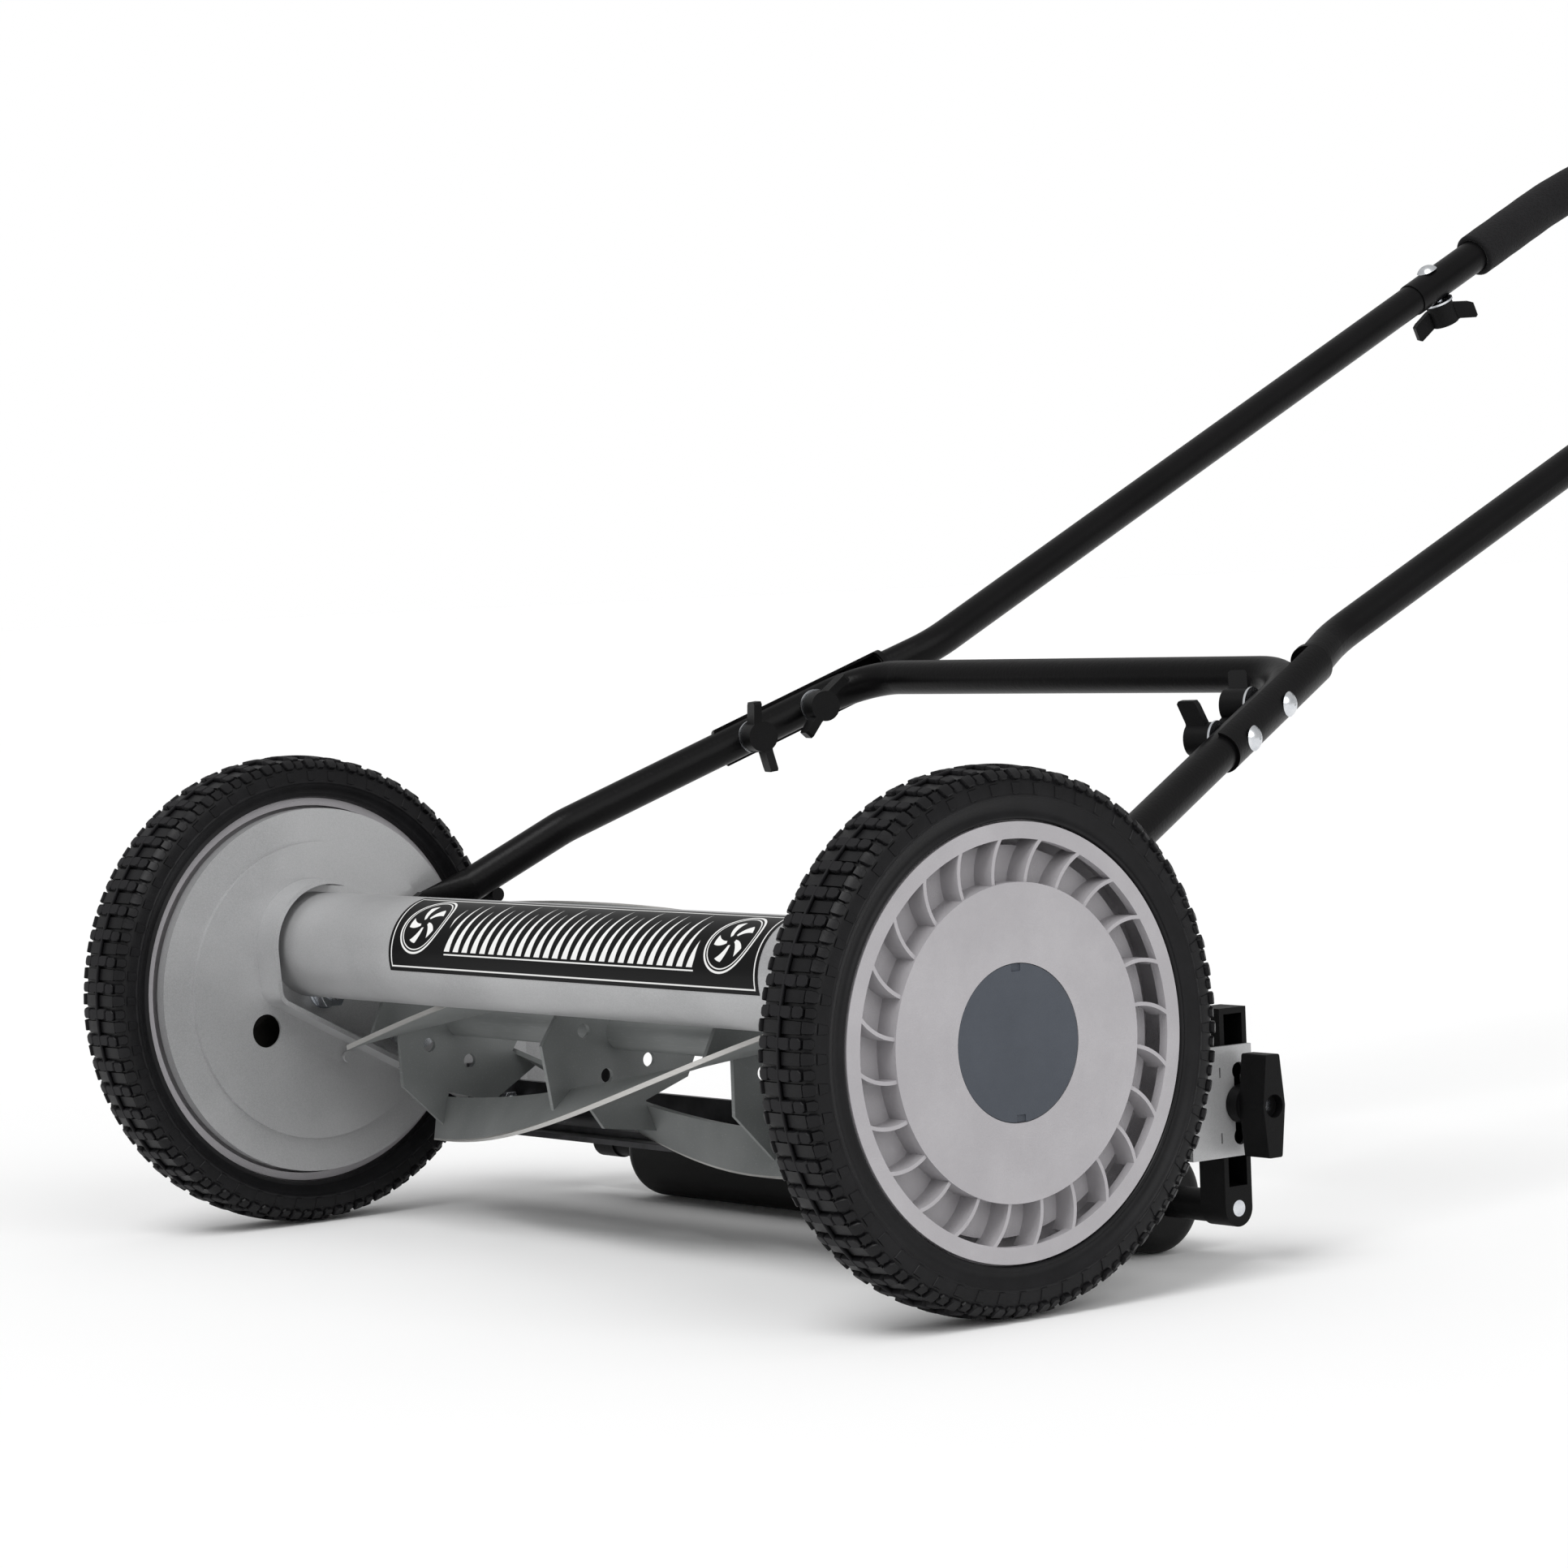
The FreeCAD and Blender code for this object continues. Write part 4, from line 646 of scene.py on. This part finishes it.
def outward(points, faces):
    """The same faces, turned round if they enclose a negative volume."""
    faces = [tuple(face) for face in faces]
    return faces if volume(points, faces) > 0 else [face[::-1] for face in faces]


print("helpers ready")

# %% [markdown]
# ## The tyre's body
# The tyre is one turned profile: lips that hold the rim, a plain side wall with one fine raised ring,
# a round shoulder and a gently crowned tread.  The corners are listed once, from the middle of the
# tread outwards, as distance from the middle and drop below it, in millimetres.  The inner half
# mirrors them.  Turning the profile about the axle is a product of radii with the cosine and sine
# of the angle.

# %% Tyre body
tyre_low, tyre_high = (np.array(v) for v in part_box("left_tyre"))
tyre_middle = float(tyre_low[0] + tyre_high[0]) / 2
outer_radius = float(tyre_high[2] - tyre_low[2]) / 2
tread_depth = 0.0029
contour = np.array([
    (0.0, 0.0), (6.0, 0.05), (10.0, 0.25), (13.0, 0.7), (15.2, 1.5), (16.8, 2.9), (17.7, 4.6), (18.2, 6.5),
    (18.5, 8.6), (18.6, 9.8), (18.65, 10.6), (18.95, 11.1), (19.0, 11.5), (18.9, 11.9), (18.5, 12.3),
    (17.9, 13.8), (16.9, 15.6), (16.3, 17.4), (16.4, 19.2), (17.2, 20.8), (17.1, 21.8)]) / 1000
lips = np.array([(16.4, 22.3), (13.2, 22.3)]) / 1000


def smoothed(corners, steps):
    """Points along a corner list, each step a cubic blend of four neighbours (Catmull-Rom)."""
    padded = np.vstack([corners[0] * 2 - corners[1], corners, corners[-1] * 2 - corners[-2]])
    t = np.linspace(0.0, 1.0, steps, endpoint=False)[None, :, None]
    a, b, c, d = (padded[k:len(padded) - 3 + k][:, None, :] for k in range(4))
    bend, twist = 2 * a - 5 * b + 4 * c - d, 3 * b - a - 3 * c + d
    line = 0.5 * (2 * b + (c - a) * t + bend * t ** 2 + twist * t ** 3)
    return np.vstack([line.reshape(-1, 2), corners[-1:]])


half_wall = smoothed(contour, 3)
wall_radius = outer_radius - tread_depth


def turned(profile, side, count):
    """Points of a profile (offset from the tyre's middle, radius) turned about the axle."""
    angle = np.linspace(0.0, 2 * np.pi, count, endpoint=False)
    across, radius = profile[:, 0][None, :], profile[:, 1][None, :]
    x = np.broadcast_to(side * (tyre_middle + across), (count, len(profile)))
    y = axle[1] + radius * np.cos(angle)[:, None]
    z = axle[2] + radius * np.sin(angle)[:, None]
    return np.stack([x, y, z], -1).reshape(-1, 3)


seat_radius = 0.1041
outer_half = np.column_stack([half_wall[:, 0], wall_radius - half_wall[:, 1]])
outer_lip = np.column_stack([lips[:, 0], wall_radius - lips[:, 1]])
inner_half = outer_half[outer_half[:, 1] > seat_radius + 0.002] * (-1, 1)
profile = np.vstack([outer_half, outer_lip, [(0.0132, seat_radius), (-0.0145, seat_radius),
                                             (-0.0175, seat_radius + 0.0008)], inner_half[:0:-1]])
print("tyre profile has", len(profile), "points, outer radius", round(outer_radius, 4))

# %% [markdown]
# ## The tread
# Each pitch of the tread has the same lugs: a stepped bar in the middle, a block on each side of it,
# two low plates in the gap behind, a high and a low lug on each shoulder, and a flat pad on each
# side wall.  A lug is a short prism: its outline is given across and around, its foot sits in the
# tyre and its top is a little smaller.  An Array modifier could carry one pitch round the wheel, but
# points laid along the tyre's own contour also bend over the shoulder.

# %% Tread lugs
pitches = 56
around_pitch = 2 * np.pi / pitches
contour_length = np.concatenate([[0.0], np.cumsum(np.hypot(*np.diff(half_wall, axis=0).T))])
slope = np.gradient(half_wall, contour_length, axis=0)
half_normal = np.column_stack([slope[:, 1], slope[:, 0]])


def lug(corners, foot, top, draft=0.00035):
    """A lug's outline, taken from millimetres to metres, its foot and top heights, and its draft."""
    return np.array(corners) / 1000, foot, top, draft


def both_sides(corners, foot, top, shift=0.0):
    """The same lug on either side of the middle, one a little further round."""
    mirrored_corners = [(-s, v + shift) for s, v in reversed(corners)]
    return [lug(corners, foot, top), lug(mirrored_corners, foot, top)]


low, high = -0.0012, tread_depth - 0.0002
lugs = [lug([(-7.4, 1.2), (-6.6, 0.4), (-2.4, 0.4), (-1.7, 0.9), (6.0, 0.9), (7.2, 2.0), (7.4, 5.0),
             (6.4, 6.4), (2.4, 6.4), (1.7, 5.9), (-6.0, 5.9), (-7.2, 4.8)], low, high)]
lugs += both_sides([(8.0, 2.0), (8.9, 0.7), (12.6, 0.7), (13.8, 2.0), (13.8, 4.8), (12.6, 6.1), (8.9, 6.1),
                    (8.0, 4.8)], low, high - 0.0002, 0.3)
lugs += both_sides([(0.45, 7.3), (12.6, 7.3), (13.1, 7.8), (13.1, 13.1), (12.6, 13.6), (0.45, 13.6)],
                   low, high - 0.0017)
lugs += both_sides([(13.9, 7.9), (14.6, 7.2), (17.8, 7.4), (19.0, 8.4), (19.0, 12.0), (17.8, 13.0),
                    (14.6, 13.2), (13.9, 12.5)], low, high - 0.0004)
lugs += both_sides([(14.4, 1.2), (17.6, 0.7), (19.0, 1.8), (19.0, 4.9), (17.6, 6.0), (14.4, 5.6)],
                   low, high - 0.0012)
lugs += both_sides([(20.2, 7.6), (25.2, 8.2), (25.8, 9.4), (25.8, 11.8), (25.2, 12.8), (20.2, 13.2)],
                   -0.0006, 0.0005)


def on_tyre(across, angle, height, side):
    """Points at a contour distance across, an angle round, and a height above the tyre's skin.

    The contour is read between its corners, and the height is added along the contour's normal."""
    far = np.abs(across)
    offset = np.interp(far, contour_length, half_wall[:, 0])
    drop = np.interp(far, contour_length, half_wall[:, 1])
    out_x = np.interp(far, contour_length, half_normal[:, 0])
    out_r = np.interp(far, contour_length, half_normal[:, 1])
    size = np.hypot(out_x, out_r)
    x = side * (tyre_middle + np.sign(across) * (offset + height * out_x / size))
    radius = wall_radius - drop + height * out_r / size
    return np.stack([x, axle[1] + radius * np.cos(angle), axle[2] + radius * np.sin(angle)], -1)


def lug_rows(outline, foot, top, draft, side):
    """Every copy of one lug round the tyre: a wide foot ring, a ring just below the top, a smaller
    ring at the top, and a centre point for each cap; copy k is turned by k pitches."""
    centre = outline.mean(0)
    inward = centre - outline
    inward /= np.linalg.norm(inward, axis=1)[:, None]
    layers = [(outline - inward * draft, foot), (outline, top - 0.0004), (outline + inward * draft, top)]
    step = np.arange(pitches)[:, None] * around_pitch
    middle_across = np.broadcast_to(centre[0], (pitches, 1))
    middle_angle = centre[1] / outer_radius + step
    points = [on_tyre(middle_across, middle_angle, foot, side)]
    for ring, height in layers:
        across = np.broadcast_to(ring[:, 0], (pitches, len(ring)))
        points.append(on_tyre(across, ring[:, 1] / outer_radius + step, height, side))
    points.append(on_tyre(middle_across, middle_angle, top, side))
    points = np.concatenate(points, 1)
    count = len(outline)
    near = np.arange(count)
    after = (near + 1) % count
    tris = [np.stack([np.zeros(count, int), 1 + after, 1 + near], -1)]
    quads = [np.stack([1 + k * count + near, 1 + k * count + after, 1 + (k + 1) * count + after,
                       1 + (k + 1) * count + near], -1) for k in range(2)]
    tris.append(np.stack([np.full(count, 1 + 3 * count), 1 + 2 * count + near, 1 + 2 * count + after], -1))
    start = (np.arange(pitches) * points.shape[1])[:, None, None]
    faces = [tuple(face) for face in (np.concatenate(tris)[None] + start).reshape(-1, 3).tolist()]
    faces += [tuple(face) for face in (np.concatenate(quads)[None] + start).reshape(-1, 4).tolist()]
    return points.reshape(-1, 3), faces


def tyre(side, body, node):
    """The turned profile and every lug, one closed shell each, joined in one mesh."""
    count = 336
    points = turned(profile, side, count)
    faces = outward(points - points.mean(0), ring_quads(count, len(profile)).tolist())
    all_points, all_faces, start = [points], list(faces), len(points)
    for outline, foot, top, draft in lugs:
        more, lug_faces = lug_rows(outline, foot, top, draft, side)
        lug_faces = outward(more - more.mean(0), lug_faces)
        all_faces += [tuple(corner + start for corner in face) for face in lug_faces]
        all_points.append(more)
        start += len(more)
    made = object_of(node + "_treaded", np.vstack(all_points), all_faces, "tyre_rubber")
    made.data.set_sharp_from_angle(angle=math.radians(35.0))
    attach(made, body)
    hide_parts(node)
    return made


tyres = [tyre(1, "left_wheel", "left_tyre"), tyre(-1, "right_wheel", "right_tyre")]
print("tyre faces", [len(made.data.polygons) for made in tyres])

# %% [markdown]
# ## The seam
# The halves of the mould meet in the middle of the tread and leave a thin fin all the way round.  A
# line in the bump would vanish on the tyre's outline, so the fin is a narrow profile with five
# corners, turned about the axle as the tyre is.

# %% Mould seam
fin_top = tread_depth * 1000
fin = np.array([(-0.42, fin_top - 0.7), (-0.30, fin_top), (0.30, fin_top), (0.42, fin_top - 0.7),
                (0.0, -0.8)]) / 1000
for side, body in ((1, "left_wheel"), (-1, "right_wheel")):
    points = turned(np.column_stack([fin[:, 0], wall_radius + fin[:, 1]]), side, 336)
    faces = outward(points - points.mean(0), ring_quads(336, len(fin)).tolist())
    seam = object_of(body + "_mould_seam", points, faces, "tyre_rubber")
    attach(seam, body)
print("seams added")

# %% [markdown]
# ## The foam grip
# A foam tube is slid over the loop of the handle.  Its line is two straight legs, two quarter turns
# and a cross-piece.  A bevelled curve could follow that line, but its ends would be flat or open.
# Real ones are thick, rounded and hollow, so the section's rows run up the outside, round the end,
# and back along the inside, and the grid closes both ways.

# %% Foam grip
# Two points on the middle line of the left leg give its direction.
bend_point = np.array([0.1600, 0.3565, 0.2976])
sleeve_point = np.array([0.1702, 0.7657, 0.49375])
leg_way = (sleeve_point - bend_point) / np.linalg.norm(sleeve_point - bend_point)
foam_start, corner_reach, corner_radius = 0.064, 0.250, 0.118
corner = sleeve_point + leg_way * corner_reach
inner_radius, foam_radius = 0.01045, 0.0136


def grip_line(spacing):
    """Half of the grip's line: points and directions along leg, quarter turn and half cross-piece.

    On the turn a point is the centre, plus the radius times the leg's way by the sine of the angle,
    less the radius times the way across by its cosine."""
    inward = np.array([-1.0, 0.0, 0.0])
    turn_by = math.acos(float(leg_way @ inward))
    tangent = corner_radius * math.tan(turn_by / 2)
    begin, bend_from = sleeve_point + leg_way * foam_start, corner - leg_way * tangent
    bend_to = corner + inward * tangent
    side_way = inward - leg_way * float(inward @ leg_way)
    side_way /= np.linalg.norm(side_way)
    centre = bend_from + side_way * corner_radius
    leg = np.linspace(0, 1, int(np.linalg.norm(bend_from - begin) / spacing), endpoint=False)[:, None]
    arc = np.linspace(0, turn_by, int(turn_by * corner_radius / spacing), endpoint=False)[:, None]
    rest = np.linspace(0, 1, int(bend_to[0] / spacing), endpoint=False)[:, None]
    quarter = leg_way * np.sin(arc) - side_way * np.cos(arc)
    points = np.vstack([begin + (bend_from - begin) * leg,
                        centre + corner_radius * quarter,
                        bend_to + (np.array([0.0, bend_to[1], bend_to[2]]) - bend_to) * rest])
    ways = np.vstack([np.repeat(leg_way[None], len(leg), 0), leg_way * np.cos(arc) + side_way * np.sin(arc),
                      np.repeat(inward[None], len(rest), 0)])
    return points, ways


half_points, half_ways = grip_line(0.003)
flip = np.array([-1.0, 1.0, 1.0])
line = np.vstack([half_points, [half_points[-1] * (0.0, 1.0, 1.0)], half_points[::-1] * flip])
ways = np.vstack([half_ways, [(-1.0, 0.0, 0.0)], -half_ways[::-1] * flip])
across = np.cross(leg_way, (-1.0, 0.0, 0.0))
across /= np.linalg.norm(across)


def cuff(count, low_radius, high_radius):
    """Rows of (distance in, radius) round the end of the foam: a quarter circle, from the end face in."""
    angle = np.linspace(np.pi / 2, 0.0, count)
    soft = (high_radius - low_radius) * 0.55
    return np.column_stack([soft * (1 - np.sin(angle)), high_radius - soft * (1 - np.cos(angle))])


def foam_tube(columns):
    """Points of the grip: circles about the line, outside first, then back along the inside."""
    end = cuff(5, inner_radius, foam_radius)
    rows = [(line[0] + ways[0] * d, ways[0], r) for d, r in end]
    wave = foam_radius + 0.00006 * np.sin(np.arange(len(line)) * 0.9)
    rows += [(line[k], ways[k], wave[k]) for k in range(2, len(line) - 2)]
    rows += [(line[-1] - ways[-1] * d, ways[-1], r) for d, r in end[::-1]]
    rows += [(line[k], ways[k], inner_radius) for k in range(len(line) - 1, -1, -1)]
    centres, directions, radii = (np.array(column) for column in zip(*rows))
    side = np.cross(directions, across)
    side /= np.linalg.norm(side, axis=1)[:, None]
    angle = np.linspace(0, 2 * np.pi, columns, endpoint=False)
    ring = np.cos(angle)[None, :, None] * side[:, None] + np.sin(angle)[None, :, None] * across[None, None]
    return (centres[:, None] + radii[:, None, None] * ring).reshape(-1, 3), len(rows)


grip_points, grip_rows = foam_tube(40)
grip_faces = outward(grip_points - grip_points.mean(0), ring_quads(grip_rows, 40).tolist())
grip = object_of("foam_grip_sleeve", grip_points, grip_faces, "foam")
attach(grip, "handle")
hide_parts("foam_grip")
print("grip faces", len(grip_faces), "volume cm3", round(volume(grip_points, grip_faces) * 1e6, 1))

# %% [markdown]
# ## Measure and close
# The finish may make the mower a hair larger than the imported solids, never noticeably so.

# %% Measure and finish
low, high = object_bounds()
